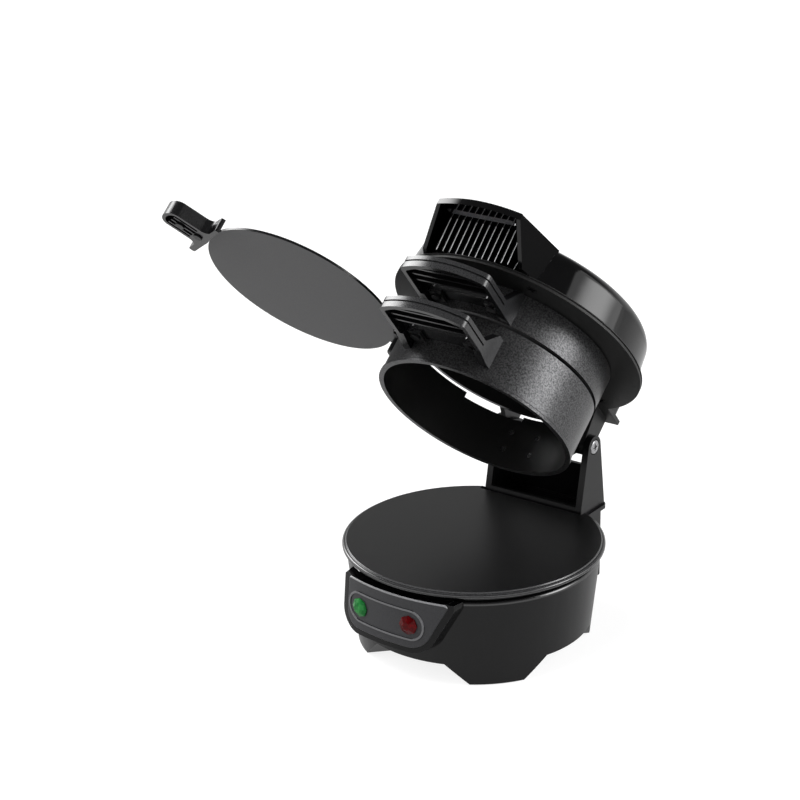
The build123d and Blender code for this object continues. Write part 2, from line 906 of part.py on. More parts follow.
with BuildPart() as hinge_post:
    with BuildSketch(sideways(fixed, post_half_width - post_cheek)):
        add(draw_post_side())
    extrude(amount=post_cheek)
    with BuildSketch(sideways(fixed, post_half_width)):
        with Locations((hinge_y, hinge_z)):
            Circle(screw_recess_radius)
    extrude(amount=-screw_recess_depth, mode=Mode.SUBTRACT)
    with BuildSketch(sideways(fixed, post_half_width)):
        with Locations((hinge_y, hinge_z)):
            Circle(hinge_pin_radius + seat_gap)
    extrude(amount=-post_cheek, mode=Mode.SUBTRACT)
    mirror(about=sideways(fixed))
    add(post_wall.part)
    add(post_kerb.part)
    with BuildSketch(level(fixed, post_flange_bottom)):
        with Locations((0, (post_foot_front + post_foot_back) / 2)):
            RectangleRounded(
                2 * (post_half_width + post_flange_overhang),
                post_foot_back - post_foot_front + 2 * post_flange_overhang,
                block_corner,
            )
            Rectangle(
                post_span - 2 * channel_cover_margin,
                post_foot_back - post_foot_front - 2 * channel_cover_margin,
                mode=Mode.SUBTRACT,
            )
    extrude(amount=post_flange_thickness)
finish(hinge_post, "hinge_post")

with BuildPart() as post_rear_cover:
    with BuildSketch(sideways(fixed, channel_cover_margin - post_span / 2)):
        add(draw_post_side(channel_cover_thickness + seat_gap))
    extrude(amount=post_span - 2 * channel_cover_margin)
    with BuildSketch(sideways(fixed, -post_span / 2)):
        add(draw_post_side(seat_gap))
    extrude(amount=post_span, mode=Mode.SUBTRACT)
    with BuildSketch(level(fixed, post_back_top - channel_cover_thickness)):
        with Locations((0, hinge_y)):
            Rectangle(2 * post_span, post_span)
    extrude(amount=post_span, mode=Mode.SUBTRACT)
    with BuildSketch(level(fixed, post_flange_bottom)):
        with Locations((0, hinge_y)):
            Rectangle(2 * post_span, post_span)
    extrude(amount=post_flange_thickness + seat_gap, mode=Mode.SUBTRACT)
finish(post_rear_cover, "post_rear_cover")

pin_seat = post_half_width - screw_recess_depth
with BuildPart() as hinge_screws:
    with BuildSketch(sideways(fixed, pin_seat)):
        with Locations((hinge_y, hinge_z)):
            Circle(hinge_head_radius)
    extrude(amount=hinge_head_height)
    fillet(hinge_screws.edges().filter_by(GeomType.CIRCLE).sort_by(Axis.X)[-1], hinge_head_height / 2)
    with BuildSketch(sideways(fixed, pin_seat)):
        with Locations((hinge_y, hinge_z)):
            Circle(hinge_pin_radius)
    extrude(amount=-(pin_seat - nut_outer + hinge_nut_height + 1))
    with BuildSketch(sideways(fixed, pin_seat + hinge_head_height)):
        with Locations((hinge_y, hinge_z)):
            Rectangle(hinge_head_radius, cross_width)
            Rectangle(cross_width, hinge_head_radius)
    extrude(amount=-hinge_head_height * 0.7, mode=Mode.SUBTRACT)
    mirror(about=sideways(fixed))
finish(hinge_screws, "hinge_screws")

with BuildPart() as hinge_nuts:
    with BuildSketch(sideways(fixed, nut_outer)):
        with Locations((hinge_y, hinge_z)):
            RegularPolygon(hinge_nut_width / 2, 6, major_radius=False)
            Circle(hinge_pin_radius + seat_gap, mode=Mode.SUBTRACT)
    extrude(amount=-hinge_nut_height)
    mirror(about=sideways(fixed))
finish(hinge_nuts, "hinge_nuts")

# ---------------------------------------------------------------------------
# rings: cast hoops with two grip tabs, straps and ears to the hinge
# ---------------------------------------------------------------------------
def draw_ring_profile(bottom, top, bead):
    """Wall of a ring, with a bead of the given size round its lower edge."""
    with BuildSketch() as profile:
        with BuildLine():
            Polyline(
                (ring_radius - ring_wall, bottom),
                (ring_radius + bead, bottom),
                (ring_radius + bead, bottom + ring_bead_height),
                (ring_radius, bottom + ring_bead_height + ring_bead),
                (ring_radius, top),
                (ring_radius - ring_wall, top),
                close=True,
            )
        make_face()
    return profile.sketch


def build_grip_tabs(frame, grip_top):
    """Two flat tabs that carry a ring's handle from inside its pocket."""
    tab_top = grip_top - grip_deck - seat_gap
    with BuildPart() as tabs:
        with BuildSketch(level(frame, tab_top - tab_thickness)):
            with Locations((0, -tab_reach / 2)):
                with GridLocations(2 * tab_offset, 0, 2, 1):
                    Rectangle(tab_width, tab_reach)
            with Locations((0, -tab_screw_y)):
                with GridLocations(2 * tab_offset, 0, 2, 1):
                    Circle(grip_screw_radius + seat_gap, mode=Mode.SUBTRACT)
            Circle(ring_radius - ring_wall / 2, mode=Mode.SUBTRACT)
        extrude(amount=tab_thickness)
    return tabs


def build_rivet_shanks(frame, radius, start, end, rows):
    """Radial pins at the back of a ring, used for its rivets and for their holes."""
    with BuildPart() as shanks:
        for row in rows:
            for side in (-1, 1):
                with BuildSketch(facing(frame, 90 + side * rivet_angle, start, row)):
                    Circle(radius)
                extrude(amount=end - start)
    return shanks


lower_strap_bottom = lower_ring_bottom + strap_margin
lower_strap_top = lower_ring_top - strap_margin
upper_strap_bottom = upper_ring_bottom + strap_margin / 2
upper_strap_top = upper_ring_top - strap_margin / 2
lower_rivet_rows = (lower_strap_bottom + rivet_margin, lower_strap_top - rivet_margin)
upper_rivet_rows = ((upper_strap_bottom + upper_strap_top) / 2,)
strap_face = ring_radius + seat_gap + strap_thickness
lower_rivet_holes = build_rivet_shanks(
    raised, rivet_radius + seat_gap, 0, strap_face + strap_thickness, lower_rivet_rows
)
upper_rivet_holes = build_rivet_shanks(
    raised, rivet_radius + seat_gap, 0, strap_face + strap_thickness, upper_rivet_rows
)
lower_tabs = build_grip_tabs(raised, lower_grip_top)
upper_tabs = build_grip_tabs(raised, upper_grip_top)
window_reach = 2 * ring_radius

with BuildPart() as lower_ring:
    with BuildSketch(upright(raised)):
        add(draw_ring_profile(lower_ring_bottom, lower_ring_top, ring_bead))
    revolve(axis=spindle(raised))
    add(lower_tabs.part)
    # window that the egg plate's rim shows through at the back
    with BuildSketch(level(raised, lower_ring_top)):
        with BuildLine():
            PolarLine((0, 0), window_reach, slot_window_start)
            RadiusArc(
                PolarLine((0, 0), window_reach, slot_window_start, mode=Mode.PRIVATE) @ 1,
                PolarLine((0, 0), window_reach, slot_window_end, mode=Mode.PRIVATE) @ 1,
                -window_reach,
            )
            PolarLine((0, 0), window_reach, slot_window_end)
        make_face()
    extrude(amount=-slot_window_depth, mode=Mode.SUBTRACT)
    add(lower_rivet_holes.part, mode=Mode.SUBTRACT)
finish(lower_ring, "lower_ring")

with BuildPart() as upper_ring:
    with BuildSketch(upright(raised)):
        add(draw_ring_profile(upper_ring_bottom, upper_ring_top, 0))
    revolve(axis=spindle(raised))
    add(upper_tabs.part)
    # boss for the egg plate's pivot
    with BuildSketch(level(raised, upper_ring_bottom)):
        with PolarLocations(pivot_radius, 1, start_angle=pivot_direction):
            Circle(pivot_boss_radius)
        with PolarLocations(ring_radius, 1, start_angle=pivot_direction):
            Rectangle(2 * (pivot_radius - ring_radius), 2 * pivot_boss_radius)
        with PolarLocations(pivot_radius, 1, start_angle=pivot_direction):
            Circle(pivot_pin_radius + seat_gap, mode=Mode.SUBTRACT)
        Circle(ring_radius - ring_wall / 2, mode=Mode.SUBTRACT)
    extrude(amount=pivot_boss_height)
    add(upper_rivet_holes.part, mode=Mode.SUBTRACT)
finish(upper_ring, "upper_ring")


def build_strap(frame, bottom, top, ear_outer):
    """Steel strap round the back of a ring with two ears that turn on the hinge screws."""
    half_angle = degrees(asin(ear_outer / (strap_face - strap_thickness / 2)))
    ear_front = sqrt((strap_face - strap_thickness) ** 2 - (ear_outer - ring_ear) ** 2)
    with BuildPart() as strap:
        with BuildSketch(level(frame, bottom)):
            with BuildLine():
                inner = CenterArc(
                    (0, 0), strap_face - strap_thickness, 90 - half_angle, 2 * half_angle
                )
                outer = CenterArc((0, 0), strap_face, 90 - half_angle, 2 * half_angle)
                Line(inner @ 0, outer @ 0)
                Line(inner @ 1, outer @ 1)
            make_face()
        extrude(amount=top - bottom)
        for start in (ear_outer - ring_ear, -ear_outer):
            with BuildSketch(sideways(frame, start)):
                with Locations((hinge_y, hinge_z)):
                    Circle(ear_radius)
                with Locations((ear_front + strap_thickness / 2, (bottom + top) / 2)):
                    Rectangle(strap_thickness, top - bottom)
                make_hull()
                with Locations((hinge_y, hinge_z)):
                    Circle(hinge_pin_radius + bore_gap, mode=Mode.SUBTRACT)
            extrude(amount=ring_ear)
    return strap


lower_strap_blank = build_strap(raised, lower_strap_bottom, lower_strap_top, lower_ear_outer)
with BuildPart() as lower_ring_strap:
    add(lower_strap_blank.part)
    add(lower_rivet_holes.part, mode=Mode.SUBTRACT)
finish(lower_ring_strap, "lower_ring_strap")

upper_strap_blank = build_strap(raised, upper_strap_bottom, upper_strap_top, upper_ear_outer)
with BuildPart() as upper_ring_strap:
    add(upper_strap_blank.part)
    add(upper_rivet_holes.part, mode=Mode.SUBTRACT)
finish(upper_ring_strap, "upper_ring_strap")

rivet_tip = ring_radius - ring_wall + face_gap


def build_rivets(frame, rows):
    """Rivets through the back of a ring and its strap, heads outside."""
    shanks = build_rivet_shanks(frame, rivet_radius, rivet_tip, strap_face + seat_gap, rows)
    heads = build_rivet_shanks(
        frame, rivet_head_radius, strap_face + seat_gap, strap_face + rivet_head_height, rows
    )
    with BuildPart() as rivets:
        add(shanks.part)
        add(heads.part)
    return rivets


lower_strap_rivets = build_rivets(raised, lower_rivet_rows)
finish(lower_strap_rivets, "lower_strap_rivets")
upper_strap_rivets = build_rivets(raised, upper_rivet_rows)
finish(upper_strap_rivets, "upper_strap_rivets")

# ---------------------------------------------------------------------------
# ring handles: hollow trays with a groove, a finger slot and gussets at the root
# ---------------------------------------------------------------------------
def draw_grip_outline(inset):
    """Outline of a ring handle from above, drawn in by an inset."""
    half = grip_half_width - inset
    front = inset - grip_corner_front
    with BuildSketch() as outline:
        with BuildLine():
            ThreePointArc((-half, front), (0, inset - grip_front), (half, front))
            Polyline((half, front), (half, 0), (-half, 0), (-half, front))
        make_face()
        fillet(outline.vertices().group_by(Axis.Y)[0], grip_corner - inset)
    return outline.sketch


def build_ring_handle(frame, top, gusset_bottom, gusset_top):
    """Handle of a ring, moulded hollow from below, seated on the ring's outside."""
    bottom = top - grip_height
    root_y = sqrt(ring_radius**2 - grip_half_width**2)
    with BuildPart() as handle:
        with BuildSketch(level(frame, bottom)):
            add(draw_grip_outline(0))
        extrude(amount=grip_height)
        with BuildSketch(level(frame, bottom)):
            add(draw_grip_outline(grip_wall))
        extrude(amount=grip_height - grip_deck, mode=Mode.SUBTRACT)
        with BuildSketch(level(frame, bottom + grip_height / 2)):
            add(draw_grip_outline(0))
            add(draw_grip_outline(grip_groove), mode=Mode.SUBTRACT)
        extrude(amount=grip_groove, mode=Mode.SUBTRACT)
        with BuildSketch(level(frame, top - grip_deck)):
            with Locations((0, grip_rib_front)):
                with GridLocations(0, grip_rib_pitch, 1, grip_rib_count):
                    Rectangle(2 * grip_half_width - grip_wall, grip_rib_width)
        extrude(amount=-grip_rib_depth)
        with BuildSketch(level(frame, bottom)):
            with Locations((0, -grip_slot_y)):
                SlotOverall(grip_slot_length, grip_slot_width)
        extrude(amount=grip_height, mode=Mode.SUBTRACT)
        for start in (grip_half_width - gusset_width, -grip_half_width):
            with BuildSketch(sideways(frame, start)):
                with BuildLine():
                    Polyline(
                        (0, gusset_bottom),
                        (0, gusset_top),
                        (-root_y - gusset_width, gusset_top),
                        (-root_y - gusset_run, top),
                        (-root_y - gusset_run, bottom),
                        (-root_y - gusset_width, gusset_bottom),
                        close=True,
                    )
                make_face()
            extrude(amount=gusset_width)
        with BuildSketch(level(frame, bottom)):
            with Locations((0, -tab_screw_y)):
                with GridLocations(2 * tab_offset, 0, 2, 1):
                    Circle(grip_screw_radius + seat_gap)
        extrude(amount=grip_height - grip_deck / 3, mode=Mode.SUBTRACT)
        with BuildSketch(level(frame, bottom - gusset_drop)):
            Circle(ring_radius + seat_gap)
        extrude(amount=gusset_top - bottom + gusset_drop, mode=Mode.SUBTRACT)
    return handle


def build_grip_screws(frame, grip_top):
    """Two screws up through a ring's tabs into its handle."""
    tab_bottom = grip_top - grip_deck - seat_gap - tab_thickness
    with BuildPart() as screws:
        with BuildSketch(level(frame, tab_bottom)):
            with Locations((0, -tab_screw_y)):
                with GridLocations(2 * tab_offset, 0, 2, 1):
                    Circle(grip_screw_radius)
        extrude(amount=tab_thickness + grip_deck / 2)
        with BuildSketch(level(frame, tab_bottom)):
            with Locations((0, -tab_screw_y)):
                with GridLocations(2 * tab_offset, 0, 2, 1):
                    Circle(grip_screw_head_radius)
        extrude(amount=-grip_screw_head_height)
    return screws


lower_gusset_bottom = lower_grip_top - grip_height - gusset_drop
lower_ring_handle = build_ring_handle(
    raised, lower_grip_top, lower_gusset_bottom, lower_gusset_top
)
finish(lower_ring_handle, "lower_ring_handle")
upper_ring_handle = build_ring_handle(
    raised, upper_grip_top, upper_ring_bottom + face_gap, upper_gusset_top
)
finish(upper_ring_handle, "upper_ring_handle")
lower_grip_screws = build_grip_screws(raised, lower_grip_top)
finish(lower_grip_screws, "lower_grip_screws")
upper_grip_screws = build_grip_screws(raised, upper_grip_top)
finish(upper_grip_screws, "upper_grip_screws")

# ---------------------------------------------------------------------------
# egg plate, its pivot and its handle
# ---------------------------------------------------------------------------
at_pivot = raised * Location((pivot_x, pivot_y, 0))
boss_top = upper_ring_bottom + pivot_boss_height
cap_top = egg_plate_bottom - face_gap
pin_length = boss_top - cap_top + pivot_cap_height / 2

with BuildPart() as pivot_pin:
    with BuildSketch(level(at_pivot, boss_top)):
        Circle(pivot_head_radius)
    extrude(amount=pivot_head_height)
    with BuildSketch(level(at_pivot, boss_top)):
        Circle(pivot_pin_radius)
    extrude(amount=-pin_length)
    with BuildSketch(level(at_pivot, boss_top + pivot_head_height)):
        Rectangle(pivot_head_radius, cross_width)
        Rectangle(cross_width, pivot_head_radius)
    extrude(amount=-pivot_head_height / 2, mode=Mode.SUBTRACT)
finish(pivot_pin, "pivot_pin")

with BuildPart() as pivot_cap:
    with BuildSketch(level(at_pivot, cap_top)):
        Circle(pivot_cap_radius)
    extrude(amount=-pivot_cap_height)
    fillet(pivot_cap.faces().sort_by(spindle(raised))[0].edges(), pivot_cap_radius / 4)
    with BuildSketch(level(at_pivot, cap_top)):
        Circle(pivot_pin_radius + seat_gap)
    extrude(amount=-(pivot_cap_height / 2 + seat_gap), mode=Mode.SUBTRACT)
finish(pivot_cap, "pivot_cap")

out_handle = swung * Location((0, 0, 0), (0, 0, handle_direction))
bar_bottom = bar_top - bar_height
rivet_places = [
    (bar_start + guard_thickness + bar_rivet_margin / 2, 0),
    (tang_reach - bar_rivet_margin, 0),
]

with BuildPart() as egg_plate:
    with BuildSketch(level(swung, egg_plate_bottom)):
        Circle(egg_plate_radius)
        with PolarLocations(pivot_radius, 1, start_angle=pivot_direction):
            Circle(plate_ear_radius)
        with PolarLocations(pivot_radius / 2, 1, start_angle=pivot_direction):
            Rectangle(pivot_radius, 2 * plate_ear_radius)
        with PolarLocations(tang_reach / 2, 1, start_angle=handle_direction):
            Rectangle(tang_reach, tang_width)
        with PolarLocations(pivot_radius, 1, start_angle=pivot_direction):
            Circle(pivot_pin_radius + bore_gap, mode=Mode.SUBTRACT)
        for reach, across in rivet_places:
            with PolarLocations(reach, 1, start_angle=handle_direction):
                Circle(rivet_radius + seat_gap, mode=Mode.SUBTRACT)
    extrude(amount=plate_thickness)
finish(egg_plate, "egg_plate")


def draw_bar(inset, start):
    """Outline of the egg plate's handle from above, drawn in by an inset."""
    length = bar_straight_end - start
    with BuildSketch() as bar:
        with Locations((start + length / 2, 0)):
            Rectangle(length, bar_width - 2 * inset)
        with Locations((bar_straight_end, 0)):
            Ellipse(bar_end - bar_straight_end - inset, bar_width / 2 - inset)
    return bar.sketch


with BuildSketch() as guard_outline:
    add(draw_bar(0, bar_start))
    with Locations((bar_start + guard_thickness / 2, 0)):
        Rectangle(guard_thickness, guard_width)
    roots = guard_outline.vertices().filter_by_position(
        Axis.X, bar_start + guard_thickness - seat_gap, bar_start + guard_thickness + seat_gap
    )
    fillet(roots.filter_by_position(Axis.Y, -bar_width, bar_width), guard_blend)
    tips = guard_outline.vertices().filter_by_position(Axis.Y, bar_width, guard_width)
    tips += guard_outline.vertices().filter_by_position(Axis.Y, -guard_width, -bar_width)
    fillet(tips, guard_thickness / 3)
    # the guard's back is turned to the arc that clears the lower ring
    with PolarLocations(pivot_radius, 1, start_angle=pivot_direction - handle_direction):
        Circle(pivot_radius + ring_radius + ring_bead + face_gap, mode=Mode.SUBTRACT)

with BuildPart() as egg_plate_handle:
    with BuildSketch(level(out_handle, bar_bottom)):
        add(guard_outline.sketch)
    extrude(amount=bar_height)
    with BuildSketch(level(out_handle, bar_bottom)):
        add(draw_bar(bar_wall, bar_hollow_start))
    extrude(amount=egg_plate_bottom - seat_gap - bar_bottom, mode=Mode.SUBTRACT)
    with BuildSketch(level(out_handle, bar_bottom)):
        with Locations(((bar_hollow_start + bar_straight_end) / 2, 0)):
            with GridLocations(0, bar_rib_pitch, 1, bar_rib_count):
                Rectangle(bar_straight_end - bar_hollow_start + bar_wall, bar_rib_width)
    extrude(amount=egg_plate_bottom - seat_gap - bar_bottom)
    # slot for the tang, with the plate's rim let into the guard
    with BuildSketch(level(out_handle, egg_plate_bottom - seat_gap)):
        with Locations((tang_reach / 2, 0)):
            Rectangle(tang_reach + 2 * seat_gap, tang_width + 2 * seat_gap)
    extrude(amount=plate_thickness + 2 * seat_gap, mode=Mode.SUBTRACT)
    with BuildSketch(level(out_handle, bar_bottom)):
        with Locations(*rivet_places):
            Circle(rivet_radius + seat_gap)
    extrude(amount=bar_height, mode=Mode.SUBTRACT)
finish(egg_plate_handle, "egg_plate_handle")

with BuildPart() as handle_rivets:
    with BuildSketch(level(out_handle, bar_bottom)):
        with Locations(*rivet_places):
            Circle(rivet_radius)
    extrude(amount=bar_height)
    with BuildSketch(level(out_handle, bar_bottom)):
        with Locations(*rivet_places):
            Circle(rivet_head_radius)
    extrude(amount=-rivet_head_height)
finish(handle_rivets, "handle_rivets")

# ---------------------------------------------------------------------------
# cover: moulded shell with a lip, its cheeks and the housing at the back
# ---------------------------------------------------------------------------
emboss_rim = emboss_radius + emboss_blend
cover_lean = degrees(atan((emboss_foot - cover_corner_top) / (cover_wall_top_radius - emboss_rim)))
cover_shoulder_foot = cover_corner_top - cover_shoulder * tan(radians((90 - cover_lean) / 2))


def draw_dome(inset, bottom):
    """Half section of the domed cover, drawn in by an inset."""
    top = cover_crown - inset
    rim = emboss_top - inset
    foot = cover_wall_foot_radius - inset
    wall = cover_wall_top_radius - inset
    with BuildSketch() as dome:
        with BuildLine():
            Polyline((0, top), (0, bottom), (foot, bottom), (wall, cover_shoulder_foot))
            shoulder = JernArc((wall, cover_shoulder_foot), (0, 1), cover_shoulder - inset, 90 - cover_lean)
            Polyline(shoulder @ 1, (emboss_rim, emboss_foot - inset), (emboss_radius, rim))
            TangentArc((0, top), (emboss_radius, rim), tangent=(1, 0))
        make_face()
    return dome.sketch


def draw_hood(inset):
    """Plan of the lip and its cheeks, drawn in by an inset at the sides."""
    with BuildSketch() as hood:
        with BuildLine():
            ThreePointArc(
                (inset - lip_half_width, -lip_corner_front),
                (0, -lip_front),
                (lip_half_width - inset, -lip_corner_front),
            )
            Polyline(
                (lip_half_width - inset, -lip_corner_front),
                (lip_root_half_width - inset, -lip_root_y),
                (inset - lip_root_half_width, -lip_root_y),
                (inset - lip_half_width, -lip_corner_front),
            )
        make_face()
    return hood.sketch


def draw_slant(top_front, toe, top, bottom):
    """Side view of what lies in front of a slanted edge under the lip."""
    slope = (top_front - toe) / (top - bottom)
    with BuildSketch() as front:
        with BuildLine():
            Polyline(
                (-hood_reach, bottom - cover_shoulder),
                (slope * cover_shoulder - toe, bottom - cover_shoulder),
                (-top_front, top),
                (-hood_reach, top),
                close=True,
            )
        make_face()
    return front.sketch


cover_screw_x = cover_screw_circle * cos(radians(cover_screw_start))
cover_screw_y = cover_screw_circle * sin(radians(cover_screw_start))
cover_screw_places = [
    (x, y) for x in (-cover_screw_x, cover_screw_x) for y in (-cover_screw_y, cover_screw_y)
]
lip_underside = lip_top - lip_thickness

with BuildPart() as cover_cavity:
    with BuildSketch(upright(raised)):
        add(draw_dome(cover_wall, cover_bottom))
    revolve(axis=spindle(raised))
    with BuildSketch(level(raised, cover_bottom)):
        with Locations((0, (rear_depth - cover_wall) / 2)):
            Rectangle(2 * (rear_half_width - cover_wall), rear_depth - cover_wall)
    extrude(amount=rear_top - cover_wall - cover_bottom)

with BuildPart() as hood_hollow:
    with BuildSketch(level(raised, cover_bottom)):
        add(draw_hood(cheek_thickness))
        with Locations((0, -lip_front)):
            Rectangle(2 * (lip_half_width - cheek_thickness), 2 * (lip_front - lip_corner_front))
    extrude(amount=lip_underside - cover_bottom)
    with BuildSketch(sideways(raised, -hood_reach)):
        add(draw_slant(lip_corner_front, cheek_toe, lip_underside, flange_top))
    extrude(amount=2 * hood_reach)

with BuildPart() as dome_body:
    with BuildSketch(upright(raised)):
        add(draw_dome(0, shell_bottom))
    revolve(axis=spindle(raised))

with BuildPart() as cover_shell:
    with BuildSketch(level(raised, shell_bottom)):
        add(draw_hood(0))
    extrude(amount=lip_top - shell_bottom)
    add(hood_hollow.part, mode=Mode.SUBTRACT)
    with BuildSketch(level(raised, shell_bottom)):
        with Locations((0, rear_depth / 2)):
            Rectangle(2 * rear_half_width, rear_depth)
    extrude(amount=rear_top - shell_bottom)
    rear_face = cover_shell.faces().sort_by(Axis(level(raised, 0).origin, upright(raised).z_dir))[0]
    fillet(rear_face.edges(), rear_corner)
    add(dome_body.part)
    add(cover_cavity.part, mode=Mode.SUBTRACT)
    # finger slot through the lip
    with BuildSketch(level(raised, lip_top)):
        with Locations((0, -lip_slot_y)):
            SlotOverall(lip_slot_length, lip_slot_width)
    extrude(amount=-lip_thickness, mode=Mode.SUBTRACT)
    # screw bosses inside the shell
    with BuildSketch(level(raised, shell_bottom)):
        with Locations(*cover_screw_places):
            Circle(cover_boss_radius)
            Circle(cover_head_radius - cover_head_height, mode=Mode.SUBTRACT)
    extrude(amount=cover_shoulder_foot - shell_bottom)
finish(cover_shell, "cover_shell")

# ---------------------------------------------------------------------------
# cover liner: the flange under the shell, with the two outermost hinge ears
# ---------------------------------------------------------------------------
with BuildPart() as cover_liner:
    with BuildSketch(level(raised, cover_bottom)):
        Circle(flange_radius)
        with Locations((0, (rear_depth + liner_margin) / 2)):
            Rectangle(2 * (rear_half_width + liner_margin), rear_depth + liner_margin)
        Circle(upper_plate_radius + liner_opening_gap, mode=Mode.SUBTRACT)
        with Locations(*cover_screw_places):
            Circle(cover_head_radius - cover_head_height, mode=Mode.SUBTRACT)
    extrude(amount=flange_thickness)
    with BuildSketch(level(raised, cover_bottom)):
        with Locations(*cover_screw_places):
            Circle(cover_head_radius + seat_gap)
    extrude(amount=cover_head_height, mode=Mode.SUBTRACT)
    with BuildSketch(level(raised, cover_bottom + flange_thickness / 2)):
        Circle(2 * flange_radius)
        Circle(flange_radius - flange_groove, mode=Mode.SUBTRACT)
        with Locations((0, (rear_depth + liner_margin) / 2)):
            Rectangle(
                2 * (rear_half_width + liner_margin), rear_depth + liner_margin, mode=Mode.SUBTRACT
            )
    extrude(amount=flange_groove, mode=Mode.SUBTRACT)
    for start in (cover_ear_outer - cover_ear, -cover_ear_outer):
        with BuildSketch(sideways(raised, start)):
            with Locations((hinge_y, hinge_z)):
                Circle(ear_radius)
            with Locations(((cover_ear_front + cover_ear_back) / 2, cover_bottom + flange_thickness / 2)):
                Rectangle(cover_ear_back - cover_ear_front, flange_thickness)
            make_hull()
            with Locations((hinge_y, hinge_z)):
                Circle(hinge_pin_radius + bore_gap, mode=Mode.SUBTRACT)
        extrude(amount=cover_ear)
finish(cover_liner, "cover_liner")

with BuildPart() as cover_screws:
    with BuildSketch(level(raised, cover_bottom)):
        with Locations(*cover_screw_places):
            Circle(cover_head_radius)
    extrude(amount=cover_head_height)
    with BuildSketch(level(raised, cover_bottom)):
        with Locations(*cover_screw_places):
            Circle(cover_head_radius - cover_head_height - seat_gap)
    extrude(amount=cover_screw_length)
    with BuildSketch(level(raised, cover_bottom)):
        with Locations(*cover_screw_places):
            Rectangle(2 * cover_head_radius - cross_width, cross_width)
            Rectangle(cross_width, 2 * cover_head_radius - cross_width)
    extrude(amount=cover_head_height / 2, mode=Mode.SUBTRACT)
finish(cover_screws, "cover_screws")

# ---------------------------------------------------------------------------
# matte tongue over the dome and the lip
# ---------------------------------------------------------------------------
with BuildPart() as tongue_top:
    with BuildSketch(upright(raised)):
        add(draw_dome(-tongue_thickness, cover_bottom))
        with Locations((hood_reach / 2, lip_top + (tongue_thickness - lip_thickness) / 2)):
            Rectangle(hood_reach, tongue_thickness + lip_thickness)
    revolve(axis=spindle(raised))

with BuildPart() as tongue_seat:
    with BuildSketch(upright(raised)):
        add(draw_dome(-seat_gap, cover_bottom))
        with Locations((hood_reach / 2, (cover_bottom + lip_top + seat_gap) / 2)):
            Rectangle(hood_reach, lip_top + seat_gap - cover_bottom)
    revolve(axis=spindle(raised))

with BuildPart() as cover_tongue:
    with BuildSketch(level(raised, cover_bottom)):
        with BuildLine():
            corner_x = lip_half_width - tongue_margin
            corner_y = tongue_margin - lip_corner_front
            Line((0, tongue_margin - lip_front), (0, tongue_tip_y))
            ThreePointArc(
                (0, tongue_tip_y),
                (
                    tongue_end_half_width * cos(radians(45)),
                    tongue_end_y + (tongue_tip_y - tongue_end_y) * sin(radians(45)),
                ),
                (tongue_end_half_width, tongue_end_y),
            )
            Spline(
                (tongue_end_half_width, tongue_end_y),
                (tongue_neck_half_width, -tongue_neck_y),
                (corner_x, corner_y),
                tangents=((0, -1), (corner_x - tongue_neck_half_width, tongue_neck_y + corner_y)),
            )
            ThreePointArc(
                (corner_x, corner_y),
                (corner_x / 2, corner_y - (lip_front - lip_corner_front) * 3 / 4),
                (0, tongue_margin - lip_front),
            )
        make_face()
        mirror(about=Plane.YZ)
        with Locations((0, -lip_slot_y)):
            SlotOverall(lip_slot_length, lip_slot_width, mode=Mode.SUBTRACT)
    extrude(amount=cover_crown)
    add(tongue_top.part, mode=Mode.INTERSECT)
    add(tongue_seat.part, mode=Mode.SUBTRACT)
finish(cover_tongue, "cover_tongue")

# ---------------------------------------------------------------------------
# vent grille under the lip: upright fins on a curved backing
# ---------------------------------------------------------------------------
grille_top = lip_underside - seat_gap
wall_slope = (cover_wall_foot_radius - cover_wall_top_radius) / (cover_shoulder_foot - shell_bottom)
backing_foot = cover_wall_foot_radius + face_gap
backing_head = backing_foot - wall_slope * (grille_top - shell_bottom)

with BuildPart() as grille_backing:
    with BuildSketch(upright(raised)):
        with BuildLine():
            Polyline(
                (backing_foot, shell_bottom),
                (backing_foot + fin_backing, shell_bottom),
                (backing_head + fin_backing, grille_top),
                (backing_head, grille_top),
                close=True,
            )
        make_face()
    revolve(axis=spindle(raised))

with BuildPart() as grille_back_cut:
    with BuildSketch(upright(raised)):
        with BuildLine():
            Polyline(
                (0, shell_bottom),
                (backing_foot, shell_bottom),
                (backing_head, grille_top),
                (0, grille_top),
                close=True,
            )
        make_face()
    revolve(axis=spindle(raised))

with BuildPart() as vent_grille:
    with BuildSketch(level(raised, shell_bottom)):
        with Locations((0, -lip_front / 2)):
            Rectangle(2 * grille_half_width, lip_front)
    extrude(amount=grille_top - shell_bottom)
    add(grille_backing.part, mode=Mode.INTERSECT)
    with BuildSketch(level(raised, shell_bottom)):
        with Locations((0, -(lip_root_y + lip_front) / 2)):
            with GridLocations(fin_pitch, 0, fin_count, 1):
                Rectangle(fin_thickness, lip_front - lip_root_y)
    extrude(amount=grille_top - shell_bottom)
    with BuildSketch(sideways(raised, -hood_reach)):
        add(draw_slant(fin_top_front, fin_toe, grille_top, shell_bottom))
    extrude(amount=2 * hood_reach, mode=Mode.SUBTRACT)
    add(grille_back_cut.part, mode=Mode.SUBTRACT)
finish(vent_grille, "vent_grille")

# ---------------------------------------------------------------------------
# upper cooking plate hung in the liner, with its heater and thermostat above it
# ---------------------------------------------------------------------------
upper_heater_z = upper_plate_top + heater_rib_depth - heater_tube_radius / 2

